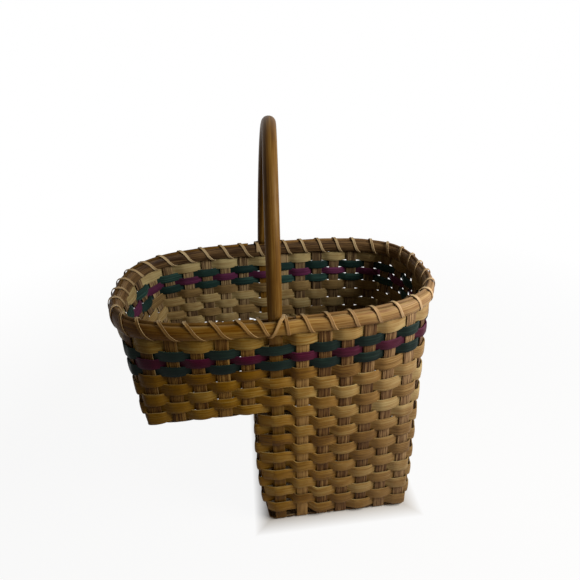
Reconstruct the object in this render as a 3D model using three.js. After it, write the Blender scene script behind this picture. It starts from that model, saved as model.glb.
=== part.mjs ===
// A stair basket: a two-level splint basket that sits on a staircase. The deep half stands on the
// lower tread and the shallow half lies on the tread above. Flat reed stakes cross in a plain weave
// in both bases, bend up into the walls, and are woven round with twenty rows of flat reed, of which
// two are dyed green and one purple. Two half-round rims clamp the stake ends with a filler between
// them, a reed lashing binds the rims, and a steam-bent hoop handle runs from rim to base and back.
// Millimetres, +Z up, X along the length with the deep half at +X, origin under the middle.
import * as THREE from 'three';

// Outline. The walls lean in from the rim to the feet: each draw-in is how far the stake line at
// the foot lies inside the rim's outer face.
const RIM_LENGTH = 430;
const RIM_WIDTH = 257;
const RIM_SQUARENESS = 3.07; // exponent of the rim's oval: 2 is an ellipse, larger is squarer
const STEP_HEIGHT = 205; // underside of the shallow half above the underside of the deep half
const SHALLOW_DEPTH = 139; // underside of the shallow half to the rims' top
const DEEP_END_DRAW_IN = 42;
const STEP_END_DRAW_IN = 42;
const DEEP_SIDE_DRAW_IN = 11.5;
const STEP_SIDE_DRAW_IN = 9.5;
const RISER_FOOT_X = -31; // stake line of the riser at the deep base
const RISER_HEAD_X = -35; // stake line of the riser under the shallow base
const RISER_BELLY = 5; // how far the riser bulges between them

// Reed
const STAKE_WIDTH = 15.9;
const STAKE_THICKNESS = 1.2;
const WEAVER_THICKNESS = 1.6;
const GREEN_WIDTH = 10.8;
const PURPLE_WIDTH = 9;
const RIM_ROW_WIDTH = 12.7;
const CLEARANCE = 0.3; // between pieces that touch on the real basket
const DEEP_BEND_RADIUS = 2.6; // radius of the stake's centre line where the deep base turns up
const STEP_BEND_RADIUS = 2; // the same at the shallow base and the riser's top
const RISER_BEND_RADIUS = 3; // the same at the riser's foot

// Spacing of the stakes. In each base the outermost lie right at the walls, and the others divide
// what is left between them evenly. Round the rim these gaps set them.
const LONG_STAKE_COUNT = 7;
const DEEP_CROSS_COUNT = 6;
const STEP_CROSS_COUNT = 5;
const FOOT_GAP_BY_HANDLE = 31.5; // first deep cross stake's foot to the handle
const HEAD_GAP_BY_HANDLE = 32; // first cross stakes' heads to the handle
const DEEP_END_HEAD_GAP = 51.2; // last cross stake's head to the rim's end
const STEP_END_HEAD_GAP = 56.8;

// Spacing of the woven rows. The natural rows divide the height that is left below the dyed band
// evenly, so they are packed closer over the shallow half. A weaver is as wide as its pitch leaves.
const COMMON_ROW_COUNT = 5; // natural rows that go all the way round
const DEEP_ROW_COUNT = 11; // and those round the deep half alone
const RIM_ROW_DEPTH = 27.4; // the row at the stake ends, below the rims' top
const BAND_DEPTH = 14.2; // from it to the upper green row
const BAND_PITCH = 11.8;
const LOWEST_ROW_HEIGHT = 10.7; // where the natural rows begin, above the deep base's underside
const STEP_BAND_DEPTH = 13.3; // the same over the shallow half
const STEP_BAND_PITCH = 10.5;
const STEP_LOWEST_ROW_HEIGHT = 5.4;
const DEEP_ROW_GAP = 0.8; // between the eleven natural rows round the deep half alone
const COMMON_ROW_GAP = 0.7; // between the five natural rows over the shallow half
const LIFT_START_X = 70; // the rows climb from here
const LIFT_END_X = -45; // to here

// Rims, filler and lashing
const RIM_HEIGHT = 19;
const RIM_THICKNESS = 6.5;
const RIM_CREST_WIDTH = 2.2; // the top edge's distance from the flat side
const RIM_CREST_DROP = 2.4; // the flat side ends this far below the top
const RIM_SHOULDER_DROP = 4.8; // the round side begins this far below the top
const RIM_HEEL_RISE = 4.2; // and ends this far above the bottom
const STAKE_TOP_DROP = 3; // stake ends are cut this far below the rims' top
const FILLER_RADIUS = 2.2;
const FILLER_RISE_HEIGHT = 0.6; // filler's middle above the rims' top
const LASH_WIDTH = 4.6;
const LASH_THICKNESS = 1;
const LASH_UNDER_WIDTH = 3.6; // the strand's turn under a rim, from the rim's flat side
const LASH_ROUND_HEIGHT = 4; // its turns at a rim's round side, from the rim's top and bottom
const LASH_CROWN_HEIGHT = 1.2; // its lift over the filler, above the clearance

// Handle
const HANDLE_HEAD_X = -6.2; // where it passes the rim
const HANDLE_FOOT_X = -14.4; // where it crosses the deep base
const HANDLE_LEAN = 12.7; // how far the hoop's top leans towards the deep end
const HANDLE_TOP = 542; // middle of the rod at the top of the hoop
const ROD_DIAMETER = 17;
const TANG_THICKNESS = 5.2; // between the rims
const TAIL_WIDTH = 15.9;
const TAIL_THICKNESS = 1.8;
const LIP_LENGTH = 13; // the notch's lower lip, which tapers out below the rim
const LIP_STEP = 1.5; // the tang's inner face steps back to the tail over this height
const SHOULDER_STEP = 0.4; // the rod ends in a shoulder this high over the tang
const HOOP_STEP_COUNT = 18;

const RIM_TOP = STEP_HEIGHT + SHALLOW_DEPTH;
const DEEP_END_FOOT_X = RIM_LENGTH / 2 - DEEP_END_DRAW_IN;
const STEP_END_FOOT_X = STEP_END_DRAW_IN - RIM_LENGTH / 2;
const DEEP_FOOT_Y = RIM_WIDTH / 2 - DEEP_SIDE_DRAW_IN;
const STEP_FOOT_Y = RIM_WIDTH / 2 - STEP_SIDE_DRAW_IN;
const RIM_BOTTOM = RIM_TOP - RIM_HEIGHT;
const STAKE_TOP = RIM_TOP - STAKE_TOP_DROP;
const RIM_ROW_Z = RIM_TOP - RIM_ROW_DEPTH;
const HALF_STAKE = STAKE_THICKNESS / 2;
const HEAD_A = RIM_LENGTH / 2 - RIM_THICKNESS - CLEARANCE - HALF_STAKE;
const HEAD_B = RIM_WIDTH / 2 - RIM_THICKNESS - CLEARANCE - HALF_STAKE;
const LEAD_LENGTH = 0.7; // a strip lies flat this far past the edges of one that it crosses
const BEND_LEAD_LENGTH = 0.6; // and begins to bend up this far beyond

// From a wall's foot to the middle of the stake that lies beside it in the base
const wallGap = (bend) => bend + BEND_LEAD_LENGTH + LEAD_LENGTH + STAKE_WIDTH / 2;
const longPitch = (footY, bend) => (2 * (footY - wallGap(bend))) / (LONG_STAKE_COUNT - 1);
const LONG_PITCH_DEEP = longPitch(DEEP_FOOT_Y, DEEP_BEND_RADIUS);
const LONG_PITCH_STEP = longPitch(STEP_FOOT_Y, STEP_BEND_RADIUS);

const mix = (a, b, t) => a + (b - a) * t;
const vec = (x, y, z) => new THREE.Vector3(x, y, z);

const WOOD = { handle: 0x9c6a34, rimOuter: 0xb5823f, rimInner: 0xa87a42 };
const REED = {
  stake: 0x8d6034,
  commonRow: 0xb58546,
  deepRow: 0xab7b3e,
  rimRow: 0xb98b4d,
  green: 0x24392c,
  purple: 0x54203c,
  filler: 0x9a7444,
  lashing: 0xd9bf94,
};
const SANDED = 0.5;
const SPLIT = 0.7; // roughness of split reed

function material(color, roughness = SPLIT) {
  return new THREE.MeshStandardMaterial({ color, roughness, metalness: 0 });
}

// Closed solid through a list of sections with equally many points each. A closed loop joins its
// last section to its first, an open strip gets a flat face at each end.
function loft(sections, isLoop) {
  const points = sections[0].length;
  const count = sections.length;
  const positions = sections.flat().flatMap((p) => [p.x, p.y, p.z]);
  const index = [];
  const spans = isLoop ? count : count - 1;
  for (let i = 0; i < spans; i += 1) {
    for (let j = 0; j < points; j += 1) {
      const a = i * points + j;
      const b = i * points + ((j + 1) % points);
      const c = ((i + 1) % count) * points + j;
      const d = ((i + 1) % count) * points + ((j + 1) % points);
      index.push(a, b, c, b, d, c);
    }
  }
  if (!isLoop) {
    const last = (count - 1) * points;
    for (let j = 1; j < points - 1; j += 1) {
      index.push(0, j + 1, j);
      index.push(last, last + j, last + j + 1);
    }
  }
  const corner = (k) => vec(positions[3 * k], positions[3 * k + 1], positions[3 * k + 2]);
  let volume = 0;
  for (let t = 0; t < index.length; t += 3) {
    volume += corner(index[t]).dot(corner(index[t + 1]).cross(corner(index[t + 2]))) / 6;
  }
  if (volume < 0) index.reverse();
  const geometry = new THREE.BufferGeometry();
  geometry.setAttribute('position', new THREE.Float32BufferAttribute(positions, 3));
  geometry.setIndex(index);
  geometry.computeVertexNormals();
  return geometry;
}

// Rectangular section of a flat strip: side runs across its width, out across its thickness
function flatSection(middle, side, out, width, thickness) {
  const corner = (s, o) =>
    middle.clone().addScaledVector(side, (s * width) / 2).addScaledVector(out, (o * thickness) / 2);
  return [corner(-1, -1), corner(1, -1), corner(1, 1), corner(-1, 1)];
}

// The rim's oval at the stake line, as a superellipse
function ovalPoint(angle) {
  const c = Math.cos(angle);
  const s = Math.sin(angle);
  const power = 2 / RIM_SQUARENESS;
  return [HEAD_A * Math.sign(c) * Math.abs(c) ** power, HEAD_B * Math.sign(s) * Math.abs(s) ** power];
}

function ovalY(x) {
  return HEAD_B * (1 - Math.abs(x / HEAD_A) ** RIM_SQUARENESS) ** (1 / RIM_SQUARENESS);
}

// Direction in which the oval faces at a point on it
function ovalFacing(x, y) {
  const power = RIM_SQUARENESS - 1;
  const nx = (Math.sign(x) * Math.abs(x / HEAD_A) ** power) / HEAD_A;
  const ny = (Math.sign(y) * Math.abs(y / HEAD_B) ** power) / HEAD_B;
  return Math.atan2(ny, nx);
}

// Points that divide one end of the oval evenly between two cross stakes at the same x
function endPoints(x, count) {
  const power = RIM_SQUARENESS / 2;
  const reach = Math.acos(Math.abs(x / HEAD_A) ** power);
  const samples = 400;
  const middle = x > 0 ? 0 : Math.PI;
  const lengths = [0];
  const points = [];
  for (let i = 0; i <= samples; i += 1) {
    points.push(ovalPoint(middle + mix(-reach, reach, i / samples)));
    if (i > 0) {
      const dx = points[i][0] - points[i - 1][0];
      const dy = points[i][1] - points[i - 1][1];
      lengths.push(lengths[i - 1] + Math.hypot(dx, dy));
    }
  }
  const chosen = [];
  for (let k = 1; k <= count; k += 1) {
    const wanted = (lengths[samples] * k) / (count + 1);
    const next = lengths.findIndex((length) => length >= wanted);
    const t = (wanted - lengths[next - 1]) / (lengths[next] - lengths[next - 1]);
    chosen.push([0, 1].map((axis) => mix(points[next - 1][axis], points[next][axis], t)));
  }
  return chosen;
}

// An upright of the wall. Its middle line runs from foot to head, straight or with a belly. It is
// bent up square to its base, and near a corner it turns on its way up, to face as the rim does from
// the rims' bottom.
class Upright {
  constructor(foot, head, footFacing, headFacing, thickness = STAKE_THICKNESS, belly = 0) {
    const turn = headFacing - footFacing;
    this.foot = foot;
    this.head = head;
    this.facing = footFacing;
    this.twist = Math.atan2(Math.sin(turn), Math.cos(turn));
    this.thickness = thickness;
    this.belly = belly;
  }

  at(z) {
    const t = (z - this.foot.z) / (this.head.z - this.foot.z);
    return vec(mix(this.foot.x, this.head.x, t), mix(this.foot.y, this.head.y, t), z)
      .addScaledVector(this.out(z), this.belly * 4 * t * (1 - t));
  }

  out(z) {
    const share = Math.min(1, (z - this.foot.z) / (RIM_BOTTOM - this.foot.z));
    const facing = this.facing + this.twist * share;
    return vec(Math.cos(facing), Math.sin(facing), 0);
  }

  // Anticlockwise round the wall, seen from above
  along(z) {
    const out = this.out(z);
    return vec(-out.y, out.x, 0);
  }

  // How far the corners of a strip this wide, that lies across the twist, are out of its plane
  warp(width) {
    const turn = (this.twist * width) / (RIM_BOTTOM - this.foot.z);
    return (STAKE_WIDTH / 2 + LEAD_LENGTH) * Math.sin(Math.abs(turn) / 2);
  }
}

const rimUpright = (foot, head, facing, thickness) =>
  new Upright(foot, head, facing, ovalFacing(head.x, head.y), thickness);

const BASE_SPACE = STAKE_THICKNESS + CLEARANCE; // between the middles of two crossed stakes
const BASE_MIDDLE = (STAKE_THICKNESS + BASE_SPACE) / 2;
const STEP_MIDDLE = STEP_HEIGHT + BASE_MIDDLE;
const DEEP_FOOT_Z = BASE_MIDDLE + DEEP_BEND_RADIUS;
const STEP_FOOT_Z = STEP_MIDDLE + STEP_BEND_RADIUS;

// x of stake j of count, divided evenly from the first place to the last
const spaced = (first, last, j, count) => mix(first, last, (j - 1) / (count - 1));
const deepFootX = (j) => {
  const last = DEEP_END_FOOT_X - wallGap(DEEP_BEND_RADIUS);
  return spaced(HANDLE_FOOT_X + FOOT_GAP_BY_HANDLE, last, j, DEEP_CROSS_COUNT);
};
const stepFootX = (j) => {
  const gap = wallGap(STEP_BEND_RADIUS);
  return spaced(RISER_HEAD_X - gap, STEP_END_FOOT_X + gap, j, STEP_CROSS_COUNT);
};
const deepHeadX = (j) =>
  spaced(HANDLE_HEAD_X + HEAD_GAP_BY_HANDLE, RIM_LENGTH / 2 - DEEP_END_HEAD_GAP, j, DEEP_CROSS_COUNT);
const stepHeadX = (j) =>
  spaced(HANDLE_HEAD_X - HEAD_GAP_BY_HANDLE, STEP_END_HEAD_GAP - RIM_LENGTH / 2, j, STEP_CROSS_COUNT);
const longY = (k, pitch) => (k - (LONG_STAKE_COUNT - 1) / 2) * pitch;

// Side is -1 for the front and 1 for the back
function crossUpright(side, footX, footY, footZ, headX, thickness) {
  const foot = vec(footX, side * footY, footZ);
  const head = vec(headX, side * ovalY(headX), RIM_TOP);
  return rimUpright(foot, head, (side * Math.PI) / 2, thickness);
}

const deepUpright = (side, j) =>
  crossUpright(side, deepFootX(j), DEEP_FOOT_Y, DEEP_FOOT_Z, deepHeadX(j));
const stepUpright = (side, j) =>
  crossUpright(side, stepFootX(j), STEP_FOOT_Y, STEP_FOOT_Z, stepHeadX(j));
const handleUpright = (side) =>
  crossUpright(side, HANDLE_FOOT_X, DEEP_FOOT_Y, DEEP_FOOT_Z, HANDLE_HEAD_X, TAIL_THICKNESS);

const deepEndHeads = endPoints(deepHeadX(DEEP_CROSS_COUNT), LONG_STAKE_COUNT);
const stepEndHeads = endPoints(stepHeadX(STEP_CROSS_COUNT), LONG_STAKE_COUNT);

function deepEndUpright(k) {
  const foot = vec(DEEP_END_FOOT_X, longY(k, LONG_PITCH_DEEP), DEEP_FOOT_Z);
  return rimUpright(foot, vec(...deepEndHeads[k], RIM_TOP), 0);
}

function stepEndUpright(k) {
  const foot = vec(STEP_END_FOOT_X, longY(k, LONG_PITCH_STEP), STEP_FOOT_Z);
  return rimUpright(foot, vec(...stepEndHeads[LONG_STAKE_COUNT - 1 - k], RIM_TOP), Math.PI);
}

// The riser's uprights face the shallow side
function riserUpright(k) {
  const foot = vec(RISER_FOOT_X, longY(k, LONG_PITCH_DEEP), DEEP_FOOT_Z);
  const head = vec(RISER_HEAD_X, longY(k, LONG_PITCH_STEP), STEP_MIDDLE - STEP_BEND_RADIUS);
  return new Upright(foot, head, Math.PI, Math.PI, STAKE_THICKNESS, RISER_BELLY);
}

const countUp = (from, to) => Array.from({ length: to - from + 1 }, (_, i) => from + i);
const countDown = (from, to) => countUp(to, from).reverse();

const frontHandle = handleUpright(-1);
const backHandle = handleUpright(1);
const sharedUprights = [
  frontHandle,
  ...countUp(1, DEEP_CROSS_COUNT).map((j) => deepUpright(-1, j)),
  ...countUp(0, LONG_STAKE_COUNT - 1).map(deepEndUpright),
  ...countDown(DEEP_CROSS_COUNT, 1).map((j) => deepUpright(1, j)),
  backHandle,
];
const deepUprights = [...sharedUprights, ...countDown(LONG_STAKE_COUNT - 1, 0).map(riserUpright)];
const allUprights = [
  ...sharedUprights,
  ...countUp(1, STEP_CROSS_COUNT).map((j) => stepUpright(1, j)),
  ...countDown(LONG_STAKE_COUNT - 1, 0).map(stepEndUpright),
  ...countDown(STEP_CROSS_COUNT, 1).map((j) => stepUpright(-1, j)),
];
const BACK_HANDLE_PLACE = sharedUprights.length - 1;

// How much of the rows' climb to the shallow half is done at x
function climb(x) {
  const t = THREE.MathUtils.clamp((LIFT_START_X - x) / (LIFT_START_X - LIFT_END_X), 0, 1);
  return t * t * (3 - 2 * t);
}

// A woven row: flat on every stake, outside one and inside the next. first is the place of the
// first upright that it passes outside, 0 or 1.
function wovenRow(uprights, first, deepHeight, stepHeight, width) {
  const sections = [];
  uprights.forEach((upright, place) => {
    const outside = place % 2 === first ? 1 : -1;
    const gap = CLEARANCE + upright.warp(width);
    const offset = outside * (upright.thickness / 2 + gap + WEAVER_THICKNESS / 2);
    const z = mix(deepHeight, stepHeight, climb(upright.at(deepHeight).x));
    for (const edge of [-1, 1]) {
      const corner = (up, out) => {
        const level = z + (up * width) / 2;
        return upright
          .at(level)
          .addScaledVector(upright.along(level), edge * (STAKE_WIDTH / 2 + LEAD_LENGTH))
          .addScaledVector(upright.out(level), offset + (out * WEAVER_THICKNESS) / 2);
      };
      sections.push([corner(-1, -1), corner(1, -1), corner(1, 1), corner(-1, 1)]);
    }
  });
  return loft(sections, true);
}

// A strip's level where it crosses another in a base: below it on the ground, or on top of it
function crossingLevel(ground, isOver, own, other) {
  return isOver ? ground + other + CLEARANCE + own / 2 : ground + own / 2;
}

// Sections of a strip in a base, flat at each crossing. crossings have a place along the strip, a
// ground level, whether the strip lies over there, and the other strip's thickness.
function baseSections(crossings, toPoint, side, own, makeSection) {
  const sections = [];
  for (const { place, ground, isOver, other, heading } of crossings) {
    const level = crossingLevel(ground, isOver, own, other);
    for (const edge of [-1, 1]) {
      const middle = toPoint(place + edge * heading * (STAKE_WIDTH / 2 + LEAD_LENGTH), level);
      sections.push(makeSection(middle, side, DOWN));
    }
  }
  return sections;
}

// Quarter bend between a wall and a base, where the strip also turns from one frame to the other.
// from and to have the direction of travel, the direction across the strip and its outer side.
const BEND_STEP_COUNT = 2;

function bendSections(corner, from, to, radius, makeSection) {
  const centre = corner.clone().addScaledVector(from.travel, -radius).addScaledVector(to.travel, radius);
  return countUp(0, BEND_STEP_COUNT).map((i) => {
    const angle = (i / BEND_STEP_COUNT) * (Math.PI / 2);
    const middle = centre
      .clone()
      .addScaledVector(to.travel, -radius * Math.cos(angle))
      .addScaledVector(from.travel, radius * Math.sin(angle));
    const out = from.out.clone().multiplyScalar(Math.cos(angle)).addScaledVector(to.out, Math.sin(angle));
    const side = from.side.clone().lerp(to.side, i / BEND_STEP_COUNT).normalize();
    return makeSection(middle, side, out);
  });
}

const stakeSection = (middle, side, out) =>
  flatSection(middle, side, out, STAKE_WIDTH, STAKE_THICKNESS);

const UP = vec(0, 0, 1);
const DOWN = vec(0, 0, -1);
const LEFT = vec(-1, 0, 0);
const RIGHT = vec(1, 0, 0);
const FORWARD = vec(0, -1, 0);
const BACKWARD = vec(0, 1, 0);

// Frames of a strip on its way down a wall, and on its way up one with the same side kept
const downWall = (upright, z = upright.foot.z) => ({
  travel: DOWN,
  side: upright.along(z),
  out: upright.out(z),
});
const upWall = (upright, z = upright.foot.z) => ({
  travel: UP,
  side: upright.along(z).negate(),
  out: upright.out(z),
});

// Sections of a stake in a wall from its head down, one for each step of its twist. frame is
// downWall or upWall.
const TWIST_STEP = Math.PI / 72;

function wallSections(upright, frame) {
  const count = Math.floor(Math.abs(upright.twist) / TWIST_STEP) + 1;
  const heights = countUp(0, count - 1).map((i) => mix(RIM_BOTTOM, upright.foot.z, i / count));
  return [STAKE_TOP, ...heights].map((z) => {
    const { side, out } = frame(upright, z);
    return stakeSection(upright.at(z), side, out);
  });
}

// The same up the riser, between its two bends
const RISER_STEP_COUNT = 8;

function riserSections(upright) {
  const { side, out } = upWall(upright);
  return countUp(1, RISER_STEP_COUNT - 1).map((i) => {
    const z = mix(upright.foot.z, upright.head.z, i / RISER_STEP_COUNT);
    return stakeSection(upright.at(z), side, out);
  });
}

// A cross stake: down the front wall, under and over the long stakes, and up the back wall
function crossStake(front, back, ground, bend, pitch, place) {
  const x = front.foot.x;
  const middle = ground + BASE_MIDDLE;
  const base = { travel: BACKWARD, side: RIGHT, out: DOWN };
  const crossings = countUp(0, LONG_STAKE_COUNT - 1).map((k) => ({
    place: longY(k, pitch),
    ground,
    isOver: (place + k) % 2 === 0,
    other: STAKE_THICKNESS,
    heading: 1,
  }));
  return loft(
    [
      ...wallSections(front, downWall),
      ...bendSections(vec(x, front.foot.y, middle), downWall(front), base, bend, stakeSection),
      ...baseSections(crossings, (y, z) => vec(x, y, z), RIGHT, STAKE_THICKNESS, stakeSection),
      ...bendSections(vec(x, back.foot.y, middle), base, upWall(back), bend, stakeSection),
      ...wallSections(back, upWall).reverse(),
    ],
    false,
  );
}

// A long stake: down the deep end wall, along the deep base, up the riser, along the shallow base
// and up the shallow end wall
function longStake(k) {
  const deepEnd = deepEndUpright(k);
  const riser = riserUpright(k);
  const stepEnd = stepEndUpright(k);
  const deepY = longY(k, LONG_PITCH_DEEP);
  const stepY = longY(k, LONG_PITCH_STEP);
  const base = { travel: LEFT, side: BACKWARD, out: DOWN };
  const bend = (x, y, z, from, to, radius) =>
    bendSections(vec(x, y, z), from, to, radius, stakeSection);
  const crossing = (j, x, ground, other) => ({
    place: x,
    ground,
    isOver: (j + k) % 2 !== 0,
    other,
    heading: -1,
  });
  const deepCrossings = [
    ...countDown(DEEP_CROSS_COUNT, 1).map((j) => crossing(j, deepFootX(j), 0, STAKE_THICKNESS)),
    crossing(0, HANDLE_FOOT_X, 0, TAIL_THICKNESS),
  ];
  const stepCrossings = countUp(1, STEP_CROSS_COUNT).map((j) =>
    crossing(j, stepFootX(j), STEP_HEIGHT, STAKE_THICKNESS),
  );
  const lay = (crossings, y) =>
    baseSections(crossings, (x, z) => vec(x, y, z), BACKWARD, STAKE_THICKNESS, stakeSection);
  return loft(
    [
      ...wallSections(deepEnd, downWall),
      ...bend(DEEP_END_FOOT_X, deepY, BASE_MIDDLE, downWall(deepEnd), base, DEEP_BEND_RADIUS),
      ...lay(deepCrossings, deepY),
      ...bend(RISER_FOOT_X, deepY, BASE_MIDDLE, base, upWall(riser), RISER_BEND_RADIUS),
      ...riserSections(riser),
      ...bend(RISER_HEAD_X, stepY, STEP_MIDDLE, upWall(riser), base, STEP_BEND_RADIUS),
      ...lay(stepCrossings, stepY),
      ...bend(STEP_END_FOOT_X, stepY, STEP_MIDDLE, base, upWall(stepEnd), STEP_BEND_RADIUS),
      ...wallSections(stepEnd, upWall).reverse(),
    ],
    false,
  );
}

// Section of the handle: ten points, spaced as corners and edges of a flat tail or round a rod.
// inner and outer are the flat's faces on each side of the middle line.
const HANDLE_POINT_COUNT = 10;

function tailSection(middle, side, out, inner, outer) {
  const half = TAIL_WIDTH / 2;
  const shape = [
    [half, -inner], [half, outer], [half / 2, outer], [0, outer], [-half / 2, outer],
    [-half, outer], [-half, -inner], [-half / 2, -inner], [0, -inner], [half / 2, -inner],
  ];
  return shape.map(([s, o]) => middle.clone().addScaledVector(side, s).addScaledVector(out, o));
}

function rodSection(middle, side, out) {
  return countUp(0, HANDLE_POINT_COUNT - 1).map((i) => {
    const angle = ((i - 0.5) / HANDLE_POINT_COUNT) * Math.PI * 2;
    return middle
      .clone()
      .addScaledVector(side, (ROD_DIAMETER / 2) * Math.cos(angle))
      .addScaledVector(out, (ROD_DIAMETER / 2) * Math.sin(angle));
  });
}

// The handle goes up over the hoop and comes back under the base as one closed ring
const HANDLE_SHOULDER = RIM_TOP + FILLER_RISE_HEIGHT + FILLER_RADIUS + CLEARANCE;
const halfTail = TAIL_THICKNESS / 2;
const halfTang = TANG_THICKNESS / 2;

function hoopSections() {
  const spread = frontHandle.head.y;
  return countUp(0, HOOP_STEP_COUNT).map((i) => {
    const angle = (i / HOOP_STEP_COUNT) * Math.PI;
    const height = (HANDLE_TOP - HANDLE_SHOULDER) * Math.sin(angle);
    const lean = (height / (HANDLE_TOP - HANDLE_SHOULDER)) * HANDLE_LEAN;
    const middle = vec(HANDLE_HEAD_X + lean, spread * Math.cos(angle), HANDLE_SHOULDER + height);
    const out = vec(
      0,
      Math.cos(angle) * Math.sign(spread) * (HANDLE_TOP - HANDLE_SHOULDER),
      Math.sin(angle) * Math.abs(spread),
    ).normalize();
    return rodSection(middle, RIGHT, out);
  });
}

// From the rod's shoulder down the wall: tang between the rims, the notch's lip, the flat tail
function legSections(upright) {
  const faces = [
    [HANDLE_SHOULDER - SHOULDER_STEP, halfTang, halfTang],
    [RIM_BOTTOM, halfTang, halfTang],
    [RIM_BOTTOM - LIP_STEP, halfTail, halfTang],
    [RIM_BOTTOM - LIP_LENGTH, halfTail, halfTail],
  ];
  return faces.map(([z, inner, outer]) =>
    tailSection(upright.at(z), RIGHT, upright.out(z), inner, outer),
  );
}

function makeHandle() {
  const tail = (middle, side, out) => tailSection(middle, side, out, halfTail, halfTail);
  const frame = (travel, out) => ({ travel, side: RIGHT, out });
  const corner = (y) => vec(HANDLE_FOOT_X, y, BASE_MIDDLE);
  const crossings = countDown(LONG_STAKE_COUNT - 1, 0).map((k) => ({
    place: longY(k, LONG_PITCH_DEEP),
    ground: 0,
    isOver: k % 2 === 0,
    other: STAKE_THICKNESS,
    heading: -1,
  }));
  return loft(
    [
      ...hoopSections(),
      ...legSections(backHandle),
      ...bendSections(
        corner(DEEP_FOOT_Y), frame(DOWN, BACKWARD), frame(FORWARD, DOWN), DEEP_BEND_RADIUS, tail,
      ),
      ...baseSections(
        crossings, (y, z) => vec(HANDLE_FOOT_X, y, z), RIGHT, TAIL_THICKNESS, tail,
      ),
      ...bendSections(
        corner(-DEEP_FOOT_Y), frame(FORWARD, DOWN), frame(UP, FORWARD), DEEP_BEND_RADIUS, tail,
      ),
      ...legSections(frontHandle).reverse(),
    ],
    true,
  );
}

// A point of the rims' bundle at a stake's edge, offset outwards from the stake line. The bundle
// swells where the handle's tang passes through it.
function edgePoint(place, edge, offset, z) {
  const upright = allUprights[place];
  const swell = upright.thickness === TAIL_THICKNESS ? halfTang - HALF_STAKE : 0;
  return upright
    .at(z)
    .addScaledVector(upright.along(z), edge * (STAKE_WIDTH / 2 + LEAD_LENGTH))
    .addScaledVector(upright.out(z), offset + Math.sign(offset) * swell);
}

// The same anywhere round the bundle: place counts uprights, whole on a stake's middle. The bundle
// lies flat on each stake and runs straight across the gaps.
function bundlePoint(place, offset, z) {
  const count = allUprights.length;
  const wrap = (n) => ((n % count) + count) % count;
  const here = Math.round(place);
  const side = place < here ? -1 : 1;
  const near = edgePoint(wrap(here), side, offset, z);
  const across = edgePoint(wrap(here), -side, offset, z);
  const far = edgePoint(wrap(here + side), -side, offset, z);
  const flat = near.distanceTo(across) / 2;
  const gap = near.distanceTo(far);
  const reach = Math.abs(place - here) * (2 * flat + gap);
  if (reach <= flat) return across.lerp(near, 0.5 + reach / flat / 2);
  return near.lerp(far, (reach - flat) / gap);
}

function ringSections(profile, from, to) {
  return countUp(from, to).flatMap((place) =>
    [-1, 1].map((edge) =>
      profile.map(([offset, height]) =>
        edgePoint(place % allUprights.length, edge, offset, RIM_BOTTOM + height),
      ),
    ),
  );
}

// Half-round reed with its flat side on the stakes: [away from the stakes, height] round the section
const rimProfile = [
  [0, 0],
  [0, RIM_HEIGHT - RIM_CREST_DROP],
  [RIM_CREST_WIDTH, RIM_HEIGHT],
  [RIM_THICKNESS, RIM_HEIGHT - RIM_SHOULDER_DROP],
  [RIM_THICKNESS, RIM_HEEL_RISE],
];
const RIM_SEAT = HALF_STAKE + CLEARANCE;

function makeRim(side) {
  const profile = rimProfile.map(([away, height]) => [side * (RIM_SEAT + away), height]);
  return loft(ringSections(profile, 0, allUprights.length - 1), true);
}

// The filler is a thin round reed that closes the groove between the rims, from handle to handle
function makeFiller(from, to) {
  const sides = 5;
  const profile = countUp(0, sides - 1).map((i) => {
    const angle = (i / sides) * Math.PI * 2;
    return [
      FILLER_RADIUS * Math.cos(angle) || 0,
      RIM_HEIGHT + FILLER_RISE_HEIGHT + FILLER_RADIUS * Math.sin(angle),
    ];
  });
  return loft(ringSections(profile, from, to), false);
}

// Where the lashing's middle line turns round the bundle, [offset, height] from the bottom outside
// over the top. Between its turns it cuts the corner a little on the rims' round ends, so the
// turns stand off by that much more than the clearance.
const LASH_OUT = CLEARANCE + LASH_THICKNESS / 2;
const LASH_CHORD_GAP = 0.4;
const LASH_SIDE = RIM_SEAT + RIM_THICKNESS + LASH_OUT + LASH_CHORD_GAP;
const lashTurns = [
  [RIM_SEAT + LASH_UNDER_WIDTH, -LASH_OUT],
  [LASH_SIDE, LASH_ROUND_HEIGHT],
  [LASH_SIDE, RIM_HEIGHT - LASH_ROUND_HEIGHT],
  [0, RIM_HEIGHT + FILLER_RISE_HEIGHT + FILLER_RADIUS + LASH_OUT + LASH_CROWN_HEIGHT],
];
const LASH_TOP = lashTurns.length - 1;
const SWELL_RISE_HEIGHT = 0.4; // the strand's lift over the rims where they swell beside the handle
const TIE_RISE = LASH_THICKNESS + CLEARANCE + SWELL_RISE_HEIGHT; // a tie lies on the strand it crosses

// Places on the lashing's way, as shares of the distance between neighbouring stakes
const LASH_IN_GAP = 0.085; // two strand ends lie this far to each side of a gap's middle
const LASH_BY_ROD = 0.42; // the strand tops the rims this far from the handle's middle
const TIE_END = 0.44; // and a tie ends this far beyond it
const ASIDE = 0.05; // reach that gives the strand's direction along the rims

// How much of its sideways way the strand has gone at each turn, going up inside and down outside
const RISING = { low: 0.25, high: 0.7 };
const FALLING = { high: 0.3, low: 0.75 };
const TIE_RISING = { under: 0.5, low: 0.6, high: 0.9 };
const TIE_FALLING = { high: 0.3, low: 0.8 };

// One turn of the path: side is 1 outside and -1 inside, turn is its place in lashTurns
const lashStop = (place, side, turn, rise = 0) => ({ place, side, turn, rise });

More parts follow.
